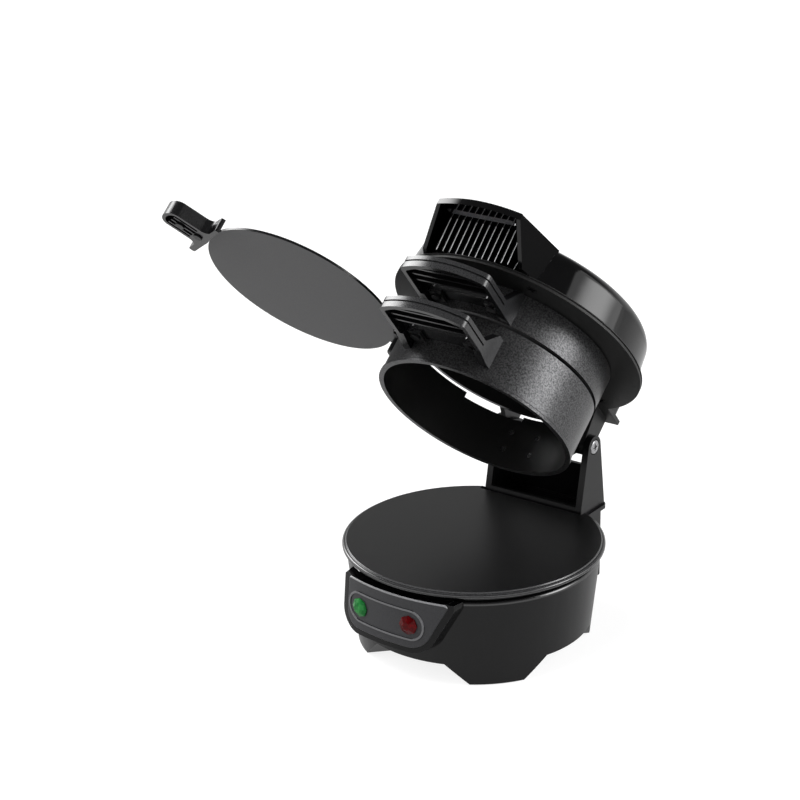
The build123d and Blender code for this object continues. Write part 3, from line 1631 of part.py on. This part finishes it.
with BuildPart() as upper_cooking_plate:
    with BuildSketch(upright(raised)):
        with BuildLine():
            Polyline(
                (0, upper_plate_bottom),
                (upper_plate_radius, upper_plate_bottom),
                (upper_plate_radius, shell_bottom),
                (upper_plate_flange_radius, shell_bottom),
                (upper_plate_flange_radius, upper_plate_top),
                (0, upper_plate_top),
                close=True,
            )
        make_face()
        with Locations((heater_radius, upper_plate_top + heater_rib_depth / 2)):
            Rectangle(heater_rib_width, heater_rib_depth)
        with Locations((heater_radius, upper_heater_z)):
            Circle(heater_tube_radius + seat_gap, mode=Mode.SUBTRACT)
    revolve(axis=spindle(raised))
finish(upper_cooking_plate, "upper_cooking_plate")

upper_heating_element = build_heater(
    raised, upper_heater_z, heater_tube_radius + heater_tail_length, 90 + heater_gap_angle / 2
)
finish(upper_heating_element, "upper_heating_element")
upper_thermostat = build_thermostat(raised, upper_plate_top, 1)
finish(upper_thermostat, "upper_thermostat")
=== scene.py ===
import json
from math import cos, pi, radians, sin

import bmesh
import bpy
from mathutils import Matrix, Vector

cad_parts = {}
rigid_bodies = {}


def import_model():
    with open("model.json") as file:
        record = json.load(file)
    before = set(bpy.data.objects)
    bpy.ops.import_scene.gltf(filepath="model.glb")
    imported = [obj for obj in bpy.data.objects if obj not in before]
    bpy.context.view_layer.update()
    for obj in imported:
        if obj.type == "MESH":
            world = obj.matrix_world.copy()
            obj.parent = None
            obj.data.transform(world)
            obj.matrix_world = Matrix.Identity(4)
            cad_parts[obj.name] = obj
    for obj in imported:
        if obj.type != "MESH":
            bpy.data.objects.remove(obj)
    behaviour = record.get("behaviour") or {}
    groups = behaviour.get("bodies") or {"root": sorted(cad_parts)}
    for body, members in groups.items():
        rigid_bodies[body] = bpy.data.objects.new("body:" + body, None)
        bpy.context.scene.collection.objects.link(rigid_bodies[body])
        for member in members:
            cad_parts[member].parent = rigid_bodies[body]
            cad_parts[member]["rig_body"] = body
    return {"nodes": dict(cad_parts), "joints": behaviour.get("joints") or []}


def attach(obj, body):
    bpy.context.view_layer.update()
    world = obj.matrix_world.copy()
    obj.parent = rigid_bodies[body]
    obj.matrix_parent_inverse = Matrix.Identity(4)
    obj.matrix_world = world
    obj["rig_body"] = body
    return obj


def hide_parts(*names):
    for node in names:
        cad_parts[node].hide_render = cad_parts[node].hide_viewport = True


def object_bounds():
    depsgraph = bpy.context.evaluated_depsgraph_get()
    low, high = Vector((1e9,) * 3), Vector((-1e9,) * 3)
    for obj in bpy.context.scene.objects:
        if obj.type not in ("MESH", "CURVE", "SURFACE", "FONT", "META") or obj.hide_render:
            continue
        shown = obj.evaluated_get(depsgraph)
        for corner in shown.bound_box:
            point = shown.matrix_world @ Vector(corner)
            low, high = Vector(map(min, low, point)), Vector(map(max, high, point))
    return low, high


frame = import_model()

cad_low, cad_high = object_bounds()

# ---------------------------------------------------------------------------
# Base housing: the tapered black drum on four flared feet, with a block behind
# it for the hinge.  It is injection moulded ABS with a fine spark-eroded
# texture, and the shoulder under the cooking plate is polished.
# ---------------------------------------------------------------------------
mm = 0.001


def tone(levels):
    """Linear colour from the red, green and blue levels of a colour chart, 0 to 255."""
    return tuple((level / 255) ** 2.2 for level in levels) + (1,)


def new_finish(name, dark, light, grain, relief, roughness, metallic=0.0, specular=0.5):
    """Moulded or coated finish: two close tones in a grain of a size in millimetres.

    The same grain makes a low relief and varies the gloss a little.
    """
    dark_end, light_start = 0.35, 0.65
    gloss_change = 0.15
    relief_depth = 0.1 * mm
    material = bpy.data.materials.new(name)
    material.use_nodes = True
    nodes = material.node_tree.nodes
    links = material.node_tree.links
    shader = nodes["Principled BSDF"]
    shader.inputs["Metallic"].default_value = metallic
    shader.inputs["Specular IOR Level"].default_value = specular
    place = nodes.new("ShaderNodeTexCoord")
    cloud = nodes.new("ShaderNodeTexNoise")
    cloud.inputs["Scale"].default_value = 1 / (grain * mm)
    cloud.inputs["Detail"].default_value = 3
    tones = nodes.new("ShaderNodeValToRGB")
    tones.color_ramp.elements[0].position = dark_end
    tones.color_ramp.elements[0].color = tone(dark)
    tones.color_ramp.elements[1].position = light_start
    tones.color_ramp.elements[1].color = tone(light)
    gloss = nodes.new("ShaderNodeMapRange")
    gloss.inputs["To Min"].default_value = roughness * (1 - gloss_change)
    gloss.inputs["To Max"].default_value = roughness * (1 + gloss_change)
    bump = nodes.new("ShaderNodeBump")
    bump.inputs["Strength"].default_value = relief
    bump.inputs["Distance"].default_value = relief_depth
    links.new(place.outputs["Object"], cloud.inputs["Vector"])
    links.new(cloud.outputs["Fac"], tones.inputs["Fac"])
    links.new(tones.outputs["Color"], shader.inputs["Base Color"])
    links.new(cloud.outputs["Fac"], gloss.inputs["Value"])
    links.new(gloss.outputs["Result"], shader.inputs["Roughness"])
    links.new(cloud.outputs["Fac"], bump.inputs["Height"])
    links.new(bump.outputs["Normal"], shader.inputs["Normal"])
    return material


def copy_solid(node, flat_within=0.3):
    """Merged copy of a solid's mesh; faces that are flat within an angle are whole again."""
    weld_distance = 0.002 * mm
    mesh = bmesh.new()
    mesh.from_mesh(frame["nodes"][node].data)
    bmesh.ops.remove_doubles(mesh, verts=mesh.verts, dist=weld_distance)
    bmesh.ops.dissolve_limit(
        mesh, angle_limit=radians(flat_within), verts=mesh.verts, edges=mesh.edges
    )
    return mesh


def sharp_edges(mesh, sharper_than=28):
    """Edges of a mesh that turn by more than an angle."""
    closed = [edge for edge in mesh.edges if len(edge.link_faces) == 2]
    return [edge for edge in closed if edge.calc_face_angle() > radians(sharper_than)]


def round_edges(mesh, radius, segments=2, edges=None, slot=-1):
    """Round over the sharp edges of a mesh or those given; a slot gives them its finish."""
    bmesh.ops.bevel(
        mesh, geom=edges or sharp_edges(mesh), offset=radius * mm, offset_type="OFFSET",
        segments=segments, profile=0.5, affect="EDGES", material=slot, clamp_overlap=True,
    )


def place_piece(mesh, node, finishes, smooth=True):
    """Make a piece of a mesh that stands for a solid and rides where it rides."""
    for face in mesh.faces:
        face.smooth = smooth
    for edge in sharp_edges(mesh, sharper_than=40):
        edge.smooth = False
    data = bpy.data.meshes.new(node + "_piece")
    mesh.to_mesh(data)
    mesh.free()
    piece = bpy.data.objects.new(node + "_piece", data)
    bpy.context.scene.collection.objects.link(piece)
    for finish in finishes:
        data.materials.append(finish)
    if smooth:
        even = piece.modifiers.new("even_shading", "WEIGHTED_NORMAL")
        even.keep_sharp = True
    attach(piece, frame["nodes"][node]["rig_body"])
    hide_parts(node)


housing_finish = new_finish(
    "housing_black", (14, 14, 15), (20, 20, 21),
    grain=0.5, relief=0.25, roughness=0.3, specular=0.32,
)
shoulder_finish = new_finish(
    "housing_rim", (14, 14, 15), (20, 20, 21),
    grain=0.5, relief=0.1, roughness=0.14, specular=1.0,
)
stack_middle = Vector((52.0, -18.65, 0)) * mm
shoulder_radius, shoulder_height = 68.5 * mm, 50.5 * mm
shoulder_steepest, shoulder_flattest = 0.05, 0.99
mesh = copy_solid("base_housing")
for face in mesh.faces:
    middle = face.calc_center_median()
    at_the_rim = middle.z > shoulder_height and (middle - stack_middle).xy.length > shoulder_radius
    rounded = shoulder_steepest < face.normal.z < shoulder_flattest
    face.material_index = int(at_the_rim and rounded)
round_edges(mesh, radius=0.5)
place_piece(mesh, "base_housing", [housing_finish, shoulder_finish])

# ---------------------------------------------------------------------------
# Bottom cover: a flat plate with air slots that closes the housing from below,
# moulded in a duller black.  Four steel screws hold it in the feet, and four
# rubber pads are pressed into the feet's soles.
# ---------------------------------------------------------------------------
def mould(node, finish, radius, segments=2, smooth=True, edges_in=None):
    """Piece with the shape of a solid, its edges rounded over in its own finish or another."""
    mesh = copy_solid(node)
    round_edges(mesh, radius, segments, slot=1 if edges_in else -1)
    place_piece(mesh, node, [finish, edges_in] if edges_in else [finish], smooth)


dull_finish = new_finish(
    "dull_black", (24, 24, 24), (33, 33, 33), grain=0.7, relief=0.4, roughness=0.5
)
mould("bottom_cover", dull_finish, radius=0.25)

steel_finish = new_finish(
    "zinc_plated_steel", (150, 150, 152), (186, 186, 188),
    grain=0.6, relief=0.2, roughness=0.28, metallic=1.0,
)
mould("base_screws", steel_finish, radius=0.15)

rubber_finish = new_finish(
    "rubber", (18, 18, 18), (28, 28, 28),
    grain=0.8, relief=0.5, roughness=0.75, specular=0.3,
)
mould("foot_pads", rubber_finish, radius=0.4)

# ---------------------------------------------------------------------------
# Collar and lower cooking plate: the plate is die-cast aluminium with a black
# non-stick coat whose rounded edges are painted lighter, a painted highlight,
# and its rim laps over the housing.
# The collar under the rim is pressed from black enamelled steel.
# ---------------------------------------------------------------------------
enamel_finish = new_finish(
    "black_enamel", (10, 10, 10), (15, 15, 15), grain=2.0, relief=0.05, roughness=0.16
)
mould("trim_collar", enamel_finish, radius=0.3)

nonstick_finish = new_finish(
    "nonstick_coat", (7, 7, 8), (15, 15, 16),
    grain=0.45, relief=0.3, roughness=0.4, specular=0.4,
)
# Lighter tone on the plates' rounded edges: a painted highlight along the rim.
plate_rim_highlight_finish = new_finish(
    "nonstick_rim_highlight", (44, 44, 45), (62, 62, 63),
    grain=0.5, relief=0.1, roughness=0.2, specular=1.0,
)
mould("lower_cooking_plate", nonstick_finish, radius=0.45, segments=3, edges_in=plate_rim_highlight_finish)

# ---------------------------------------------------------------------------
# Under the lower plate: the bent tubular heater with its pins, a thermostat
# with a ceramic body, the thermal fuse in its clip, and the ceramic terminal
# block that the mains lead is screwed to.
# ---------------------------------------------------------------------------
heater_finish = new_finish(
    "heat_tinted_steel", (92, 84, 76), (128, 116, 100),
    grain=3.0, relief=0.15, roughness=0.4, metallic=0.9,
)
mould("lower_heating_element", heater_finish, radius=0.1)

ceramic_finish = new_finish(
    "glazed_ceramic", (214, 208, 194), (228, 223, 212), grain=1.5, relief=0.1, roughness=0.3
)
mould("lower_thermostat", ceramic_finish, radius=0.2)
mould("terminal_block", ceramic_finish, radius=0.3)

brass_finish = new_finish(
    "brass", (176, 142, 74), (196, 162, 92),
    grain=1.0, relief=0.1, roughness=0.3, metallic=1.0,
)
mould("thermal_fuse", brass_finish, radius=0.1)

# ---------------------------------------------------------------------------
# Control panel: a grey satin plate on the front, rolled over into a shelf at
# its top.  It snaps into a glossy black frame, and a thin raised line runs
# round the two lights; the line's crest is painted lighter, a painted highlight.
# ---------------------------------------------------------------------------
panel_axis_back = 34.0
panel_axis = stack_middle + Vector((0, panel_axis_back, 0)) * mm
panel_curve = 110.0
crest_height = 0.3
fold_steepest, fold_flattest = 0.1, 0.95

panel_finish = new_finish(
    "grey_satin", (50, 50, 52), (60, 60, 62),
    grain=0.4, relief=0.2, roughness=0.3, specular=0.3,
)
# The raised line's crest is painted lighter: a painted highlight.
crest_highlight_finish = new_finish(
    "crest_highlight", (92, 92, 94), (108, 108, 110), grain=0.5, relief=0.1, roughness=0.3
)
gloss_finish = new_finish(
    "glossy_black", (9, 9, 10), (13, 13, 14),
    grain=2.5, relief=0.03, roughness=0.14, specular=0.25,
)
# The fold from the front into the shelf is painted light grey: a painted highlight.
fold_highlight_finish = new_finish(
    "fold_highlight", (112, 112, 114), (128, 128, 130),
    grain=0.5, relief=0.05, roughness=0.22, specular=1.0,
)
plain, crest, shelf, fold = range(4)
mesh = copy_solid("control_panel")
for face in mesh.faces:
    out = (face.calc_center_median() - panel_axis).xy.length
    face.material_index = crest if out > (panel_curve + crest_height) * mm else plain
    # The shelf's faces get glossy black: painted shade in the band under the plate's rim.
    if face.normal.z > fold_steepest:
        face.material_index = fold if face.normal.z < fold_flattest else shelf
round_edges(mesh, radius=0.2)
place_piece(mesh, "control_panel", [panel_finish, crest_highlight_finish, gloss_finish, fold_highlight_finish])

# Lighter rounded edges on glossy black: a painted highlight along the edges.
bevel_highlight_finish = new_finish(
    "bevel_highlight", (58, 58, 60), (74, 74, 76),
    grain=0.8, relief=0.05, roughness=0.2, specular=1.0,
)
mould("panel_frame", gloss_finish, radius=0.4, edges_in=bevel_highlight_finish)

# ---------------------------------------------------------------------------
# Indicator lights: two cut-glass style lenses of coloured acrylic, green for
# heat and red for power.  Behind them a small board in the housing carries two
# neon lamps.
# ---------------------------------------------------------------------------
def new_jewel(name, deep, bright, glow):
    """Tinted acrylic whose colour clouds a little from facet to facet, with a faint painted glow."""
    material = new_finish(
        name, deep, bright, grain=3.5, relief=0.05, roughness=0.2, specular=0.15
    )
    shader = material.node_tree.nodes["Principled BSDF"]
    # The lenses are no lamps: this emission is a painted glow.
    shader.inputs["Emission Color"].default_value = tone(glow)
    shader.inputs["Emission Strength"].default_value = 0.12
    return material


green_jewel = new_jewel("green_acrylic", deep=(22, 78, 38), bright=(56, 122, 66), glow=(40, 160, 70))
mould("green_lens", green_jewel, radius=0.12, segments=1, smooth=False)
red_jewel = new_jewel("red_acrylic", deep=(46, 1, 6), bright=(82, 3, 12), glow=(120, 2, 14))
mould("red_lens", red_jewel, radius=0.12, segments=1, smooth=False)

board_finish = new_finish(
    "board_green", (28, 84, 52), (38, 100, 62), grain=1.2, relief=0.2, roughness=0.45
)
mould("lamp_board", board_finish, radius=0.1)
glass_finish = new_finish(
    "lamp_glass", (206, 196, 186), (222, 214, 206), grain=2.0, relief=0.02, roughness=0.06
)
mould("neon_lamps", glass_finish, radius=0.1)

# ---------------------------------------------------------------------------
# Cord gland: the soft rubber bush through the back of the block, where the
# mains lead goes in.
# ---------------------------------------------------------------------------
mould("cord_gland", rubber_finish, radius=0.5)

# ---------------------------------------------------------------------------
# Hinge post: a moulded clevis on a flange behind the cooking plate, closed at
# the back by a cover.  Two steel screws with nuts are the pins that the ring
# straps and the lid turn on.
# ---------------------------------------------------------------------------
mould("hinge_post", housing_finish, radius=0.5)
mould("post_rear_cover", housing_finish, radius=0.3)
mould("hinge_screws", steel_finish, radius=0.25)
mould("hinge_nuts", steel_finish, radius=0.25)

# ---------------------------------------------------------------------------
# Rings: two cast aluminium hoops that hold the muffin and the egg.  Outside
# they have a hammered dark metallic coat, and inside the matt black non-stick.
# ---------------------------------------------------------------------------
hinge = next(joint for joint in frame["joints"] if joint["name"] == "lower_ring_hinge")
hinge_line = Vector(hinge["pos_m"])
open_angle = radians(-hinge["range_deg"][0])
lift = (
    Matrix.Translation(hinge_line)
    @ Matrix.Rotation(-open_angle, 4, "X")
    @ Matrix.Translation(-hinge_line)
)
lower = lift.inverted()


def when_shut(face, origin=stack_middle):
    """Place and direction of a raised piece's face as they are with the stack shut."""
    return lower @ face.calc_center_median() - origin, lower.to_3x3() @ face.normal


ring_outside = new_finish(
    "hammered_metallic", (58, 58, 59), (100, 100, 101),
    grain=0.9, relief=0.6, roughness=0.34, metallic=0.85,
)
ring_inside = new_finish(
    "nonstick_inside", (16, 16, 16), (24, 24, 24), grain=0.5, relief=0.3, roughness=0.45
)
least_inward = 0.5
for node in ("lower_ring", "upper_ring"):
    mesh = copy_solid(node)
    for face in mesh.faces:
        middle, normal = when_shut(face)
        inward = -(middle.xy.normalized().dot(normal.xy))
        face.material_index = int(inward > least_inward)
    round_edges(mesh, radius=0.25)
    place_piece(mesh, node, [ring_outside, ring_inside])

# ---------------------------------------------------------------------------
# Ring straps: bands of pressed black steel round the backs of the rings and
# riveted to them, with ears that turn on the hinge screws.
# ---------------------------------------------------------------------------
strap_finish = new_finish(
    "black_pressed_steel", (17, 17, 18), (25, 25, 26),
    grain=0.9, relief=0.25, roughness=0.3, metallic=0.3,
)
mould("lower_ring_strap", strap_finish, radius=0.3)
mould("upper_ring_strap", strap_finish, radius=0.3)
mould("lower_strap_rivets", steel_finish, radius=0.2)
mould("upper_strap_rivets", steel_finish, radius=0.2)

# ---------------------------------------------------------------------------
# Ring handles: hollow mouldings, ribbed below, over two metal tabs of
# each ring.  The outer rim is dark grey satin; the underside and inner faces
# are painted black, painted shade for the hollow below.  Small blackened
# screws hold the handles to the tabs from below.
# ---------------------------------------------------------------------------
handle_grey_finish = new_finish(
    "handle_grey", (38, 38, 39), (50, 50, 51),
    grain=0.5, relief=0.2, roughness=0.2, specular=0.6,
)
handle_finish = new_finish(
    "handle_black", (16, 16, 17), (24, 24, 25), grain=0.6, relief=0.3, roughness=0.22
)
handle_distance = 75
handle_middle = stack_middle - Vector((0, handle_distance, 0)) * mm
handle_half_width, handle_half_depth = 26.9 * mm, 15 * mm
for node in ("lower_ring_handle", "upper_ring_handle"):
    mesh = copy_solid(node)
    for face in mesh.faces:
        middle, normal = when_shut(face, handle_middle)
        at_the_rim = abs(middle.x) > handle_half_width or middle.y < -handle_half_depth
        # Faces off the outer rim are painted black: painted shade under the handle.
        outer_rim_face = at_the_rim and middle.xy.dot(normal.xy) > 0
        face.material_index = int(not outer_rim_face)
    round_edges(mesh, radius=0.6, segments=3)
    place_piece(mesh, node, [handle_grey_finish, handle_finish])

blackened_finish = new_finish(
    "blackened_steel", (22, 22, 23), (32, 32, 33),
    grain=0.6, relief=0.15, roughness=0.35, metallic=0.5,
)
mould("lower_grip_screws", blackened_finish, radius=0.15)
mould("upper_grip_screws", blackened_finish, radius=0.15)

# ---------------------------------------------------------------------------
# Egg plate: a flat aluminium disc, coated grey with a black edge, that swings
# out from between the rings on a steel pin with a black cap.  Its handle is
# slotted over the tang and riveted.
# ---------------------------------------------------------------------------
egg_finish = new_finish(
    "grey_nonstick", (74, 74, 75), (86, 86, 87),
    grain=0.6, relief=0.25, roughness=0.4, specular=0.3,
)
edge_flattest = 0.5
mesh = copy_solid("egg_plate")
for face in mesh.faces:
    middle, normal = when_shut(face)
    face.material_index = int(abs(normal.z) < edge_flattest)
round_edges(mesh, radius=0.3)
place_piece(mesh, "egg_plate", [egg_finish, handle_finish])
mould("egg_plate_handle", handle_finish, radius=0.5, segments=3)
mould("handle_rivets", blackened_finish, radius=0.3)
mould("pivot_pin", steel_finish, radius=0.25)
mould("pivot_cap", blackened_finish, radius=0.4)

# ---------------------------------------------------------------------------
# Lid shell: the domed outer moulding with its hooded lip, in polished black
# phenolic that takes clear reflections.  The cheeks of the lip have a fine
# texture for the fingers; the edges and a strip on its front are painted
# lighter, a painted highlight.
# ---------------------------------------------------------------------------
lid_finish = new_finish(
    "polished_black", (8, 8, 9), (11, 11, 12),
    grain=6.0, relief=0.02, roughness=0.08, specular=0.4,
)
lip_finish = new_finish(
    "fine_texture_black", (8, 8, 9), (12, 12, 13),
    grain=0.5, relief=0.3, roughness=0.5, specular=0.04,
)
cheek_start, cheek_steepness = 55 * mm, 0.75
strip_back, strip_front, strip_steepness = 80.5 * mm, 83.0 * mm, 0.99
polished, textured, highlight_faces = range(3)
mesh = copy_solid("cover_shell", flat_within=0.02)
for face in mesh.faces:
    middle, normal = when_shut(face)
    on_a_cheek = abs(normal.x) > cheek_steepness and middle.y < -cheek_start
    face.material_index = textured if on_a_cheek else polished
    # A strip on the lip's front is painted lighter: a painted highlight.
    if normal.y < -strip_steepness and strip_back < -middle.y < strip_front:
        face.material_index = highlight_faces
# Its rounded edges take the lighter bevel finish: a painted highlight.
round_edges(mesh, radius=0.5, segments=3, slot=highlight_faces)
place_piece(mesh, "cover_shell", [lid_finish, lip_finish, bevel_highlight_finish])

# ---------------------------------------------------------------------------
# Rest of the lid: the liner closes the shell from below and is screwed to it.
# A thin glossy tongue is let into the dome and the lip, its edges painted
# lighter as a painted highlight, and the fins of the grille under the lip have
# front edges painted near white, a painted highlight.
# ---------------------------------------------------------------------------
mould("cover_liner", dull_finish, radius=0.3)
# The tongue's rounded edges are painted lighter: a painted highlight.
mould("cover_tongue", gloss_finish, radius=0.35, edges_in=bevel_highlight_finish)

# The fins' front edges are painted near white: a painted highlight.
fin_highlight_finish = new_finish(
    "fin_edge_highlight", (190, 190, 192), (225, 225, 227), grain=0.8, relief=0.05, roughness=0.25
)
fin_steepness = 0.9
mesh = copy_solid("vent_grille")
front_edges = []
for edge in sharp_edges(mesh):
    normals = [lower.to_3x3() @ face.normal for face in edge.link_faces]
    right, front = max(normal.x for normal in normals), -min(normal.y for normal in normals)
    if edge.is_convex and right > fin_steepness and front > fin_steepness:
        front_edges.append(edge)
round_edges(mesh, radius=0.3, edges=front_edges, slot=1)
place_piece(mesh, "vent_grille", [lip_finish, fin_highlight_finish])
mould("cover_screws", blackened_finish, radius=0.15)

# ---------------------------------------------------------------------------
# Upper cooking plate with its heater and thermostat: a smaller casting with
# the same coat and the same bent tube as below, hung in the liner.
# ---------------------------------------------------------------------------
# Its rounded edges are painted lighter too: a painted highlight.
mould("upper_cooking_plate", nonstick_finish, radius=0.45, segments=3, edges_in=plate_rim_highlight_finish)
mould("upper_heating_element", heater_finish, radius=0.1)
mould("upper_thermostat", ceramic_finish, radius=0.2)

# ---------------------------------------------------------------------------
# Studio sky: white at the horizon and grey overhead.  Two round glows with
# soft edges stand in it, at the right and the left of the machine, for the
# gloss to mirror.
# ---------------------------------------------------------------------------
def toward(azimuth, elevation):
    """Direction seen from the machine: 0 is its front, 90 its right side."""
    flat = cos(radians(elevation))
    return Vector(
        (sin(radians(azimuth)) * flat, -cos(radians(azimuth)) * flat, sin(radians(elevation)))
    )


scene = bpy.context.scene
scene.view_settings.view_transform = "Standard"

horizon_end, ceiling_start = 0.12, 0.5
ceiling_grey = 0.15
world = bpy.data.worlds.new("studio")
scene.world = world
world.use_nodes = True
sky = world.node_tree.nodes
links = world.node_tree.links
direction = sky.new("ShaderNodeTexCoord")
split = sky.new("ShaderNodeSeparateXYZ")
fade = sky.new("ShaderNodeValToRGB")
fade.color_ramp.elements[0].position = horizon_end
fade.color_ramp.elements[0].color = (1, 1, 1, 1)
fade.color_ramp.elements[1].position = ceiling_start
fade.color_ramp.elements[1].color = (ceiling_grey, ceiling_grey, ceiling_grey, 1)
links.new(direction.outputs["Generated"], split.inputs[0])
links.new(split.outputs["Z"], fade.inputs[0])


def add_glow(behind, azimuth, elevation, spread, strength):
    """Round glow of a half angle, brightest in its middle, over the sky behind it."""
    cosine = sky.new("ShaderNodeVectorMath")
    cosine.operation = "DOT_PRODUCT"
    cosine.inputs[1].default_value = toward(azimuth, elevation)
    glow = sky.new("ShaderNodeMapRange")
    glow.interpolation_type = "SMOOTHSTEP"
    glow.inputs["From Min"].default_value = cos(radians(spread))
    glow.inputs["To Max"].default_value = strength
    total = sky.new("ShaderNodeVectorMath")
    links.new(direction.outputs["Generated"], cosine.inputs[0])
    links.new(cosine.outputs["Value"], glow.inputs["Value"])
    links.new(behind, total.inputs[0])
    links.new(glow.outputs["Result"], total.inputs[1])
    return total.outputs["Vector"]


radiance = add_glow(fade.outputs[0], azimuth=113, elevation=21, spread=20, strength=5.5)
radiance = add_glow(radiance, azimuth=-102, elevation=28, spread=21, strength=9.0)
links.new(radiance, sky["Background"].inputs["Color"])

# ---------------------------------------------------------------------------
# Floor: a wide pale plane that keeps the machine's shadow.  The camera and
# glass see it near white, and gloss and metal mirror it about half as bright.
# ---------------------------------------------------------------------------
floor_size = 40
floor_grey = 0.25
floor_whiteness = {"Is Camera Ray": 0.85, "Is Glossy Ray": 0.45, "Is Transmission Ray": 0.85}

floor_mesh = bmesh.new()
bmesh.ops.create_grid(floor_mesh, x_segments=1, y_segments=1, size=floor_size / 2)
floor_data = bpy.data.meshes.new("floor")
floor_mesh.to_mesh(floor_data)
floor_mesh.free()
floor = bpy.data.objects.new("floor", floor_data)
scene.collection.objects.link(floor)
floor_finish = bpy.data.materials.new("pale_floor")
floor_finish.use_nodes = True
floor_nodes = floor_finish.node_tree.nodes
floor_links = floor_finish.node_tree.links
floor_shader = floor_nodes["Principled BSDF"]
floor_shader.inputs["Base Color"].default_value = (floor_grey, floor_grey, floor_grey, 1)
floor_shader.inputs["Roughness"].default_value = 0.9
floor_shader.inputs["Specular IOR Level"].default_value = 0
floor_shader.inputs["Emission Color"].default_value = (1, 1, 1, 1)
light_path = floor_nodes.new("ShaderNodeLightPath")
white = None
for ray, whiteness in floor_whiteness.items():
    share = floor_nodes.new("ShaderNodeMath")
    share.operation = "MULTIPLY"
    share.inputs[1].default_value = whiteness
    brighter = floor_nodes.new("ShaderNodeMath")
    brighter.operation = "MAXIMUM"
    brighter.inputs[0].default_value = 0
    floor_links.new(light_path.outputs[ray], share.inputs[0])
    floor_links.new(share.outputs[0], brighter.inputs[1])
    if white:
        floor_links.new(white, brighter.inputs[0])
    white = brighter.outputs[0]
floor_links.new(white, floor_shader.inputs["Emission Strength"])
floor_data.materials.append(floor_finish)

# ---------------------------------------------------------------------------
# Lamps: two soft suns give the even light and don't show in the gloss.  A soft
# box at the right does show in it.
# ---------------------------------------------------------------------------
def aim(thing, target):
    """Turn a lamp so that it looks at a point."""
    thing.rotation_euler = (target - thing.location).to_track_quat("-Z", "Y").to_euler()


def add_sun(name, azimuth, elevation, strength, spread):
    """Soft sun lamp that the gloss doesn't mirror."""
    lamp = bpy.data.lights.new(name, "SUN")
    lamp.energy = strength
    lamp.angle = radians(spread)
    thing = bpy.data.objects.new(name, lamp)
    scene.collection.objects.link(thing)
    thing.location = toward(azimuth, elevation)
    aim(thing, Vector((0, 0, 0)))
    thing.visible_glossy = False


def add_softbox(name, azimuth, elevation, distance, width, height, radiance):
    """Rectangular soft box that also shows in the reflections."""
    lamp = bpy.data.lights.new(name, "AREA")
    lamp.shape = "RECTANGLE"
    lamp.size = width
    lamp.size_y = height
    lamp.energy = radiance * width * height * pi
    thing = bpy.data.objects.new(name, lamp)
    scene.collection.objects.link(thing)
    middle = (cad_low + cad_high) / 2
    thing.location = middle + toward(azimuth, elevation) * distance
    aim(thing, middle)


add_sun("front_fill", azimuth=-35, elevation=52, strength=2.6, spread=50)
add_sun("right_fill", azimuth=100, elevation=35, strength=1.0, spread=40)
add_softbox(
    "right_softbox", azimuth=116, elevation=25.5, distance=1.3,
    width=0.85, height=0.95, radiance=1.3,
)

# ---------------------------------------------------------------------------
# Camera: it stands in front and to the right, well back, with a long lens, and
# leans by a fraction of a degree.
# ---------------------------------------------------------------------------
camera_azimuth, camera_elevation, camera_roll = 35.2135, 21.6446, -0.6277
camera_distance = 1512.2 * mm
camera_target = Vector((-11.355, 0.25, 123.158)) * mm
picture_width = 800
focal_pixels = 2627.8
sensor_width = 36

backward = toward(camera_azimuth, camera_elevation)
rightward = Vector((cos(radians(camera_azimuth)), sin(radians(camera_azimuth)), 0))
rightward.rotate(Matrix.Rotation(radians(camera_roll), 3, backward))
lens = bpy.data.cameras.new("camera")
lens.sensor_width = sensor_width
lens.lens = focal_pixels / picture_width * sensor_width
camera = bpy.data.objects.new("camera", lens)
scene.collection.objects.link(camera)
turn = Matrix((rightward, backward.cross(rightward), backward)).transposed().to_4x4()
camera.matrix_world = Matrix.Translation(camera_target + backward * camera_distance) @ turn
scene.camera = camera
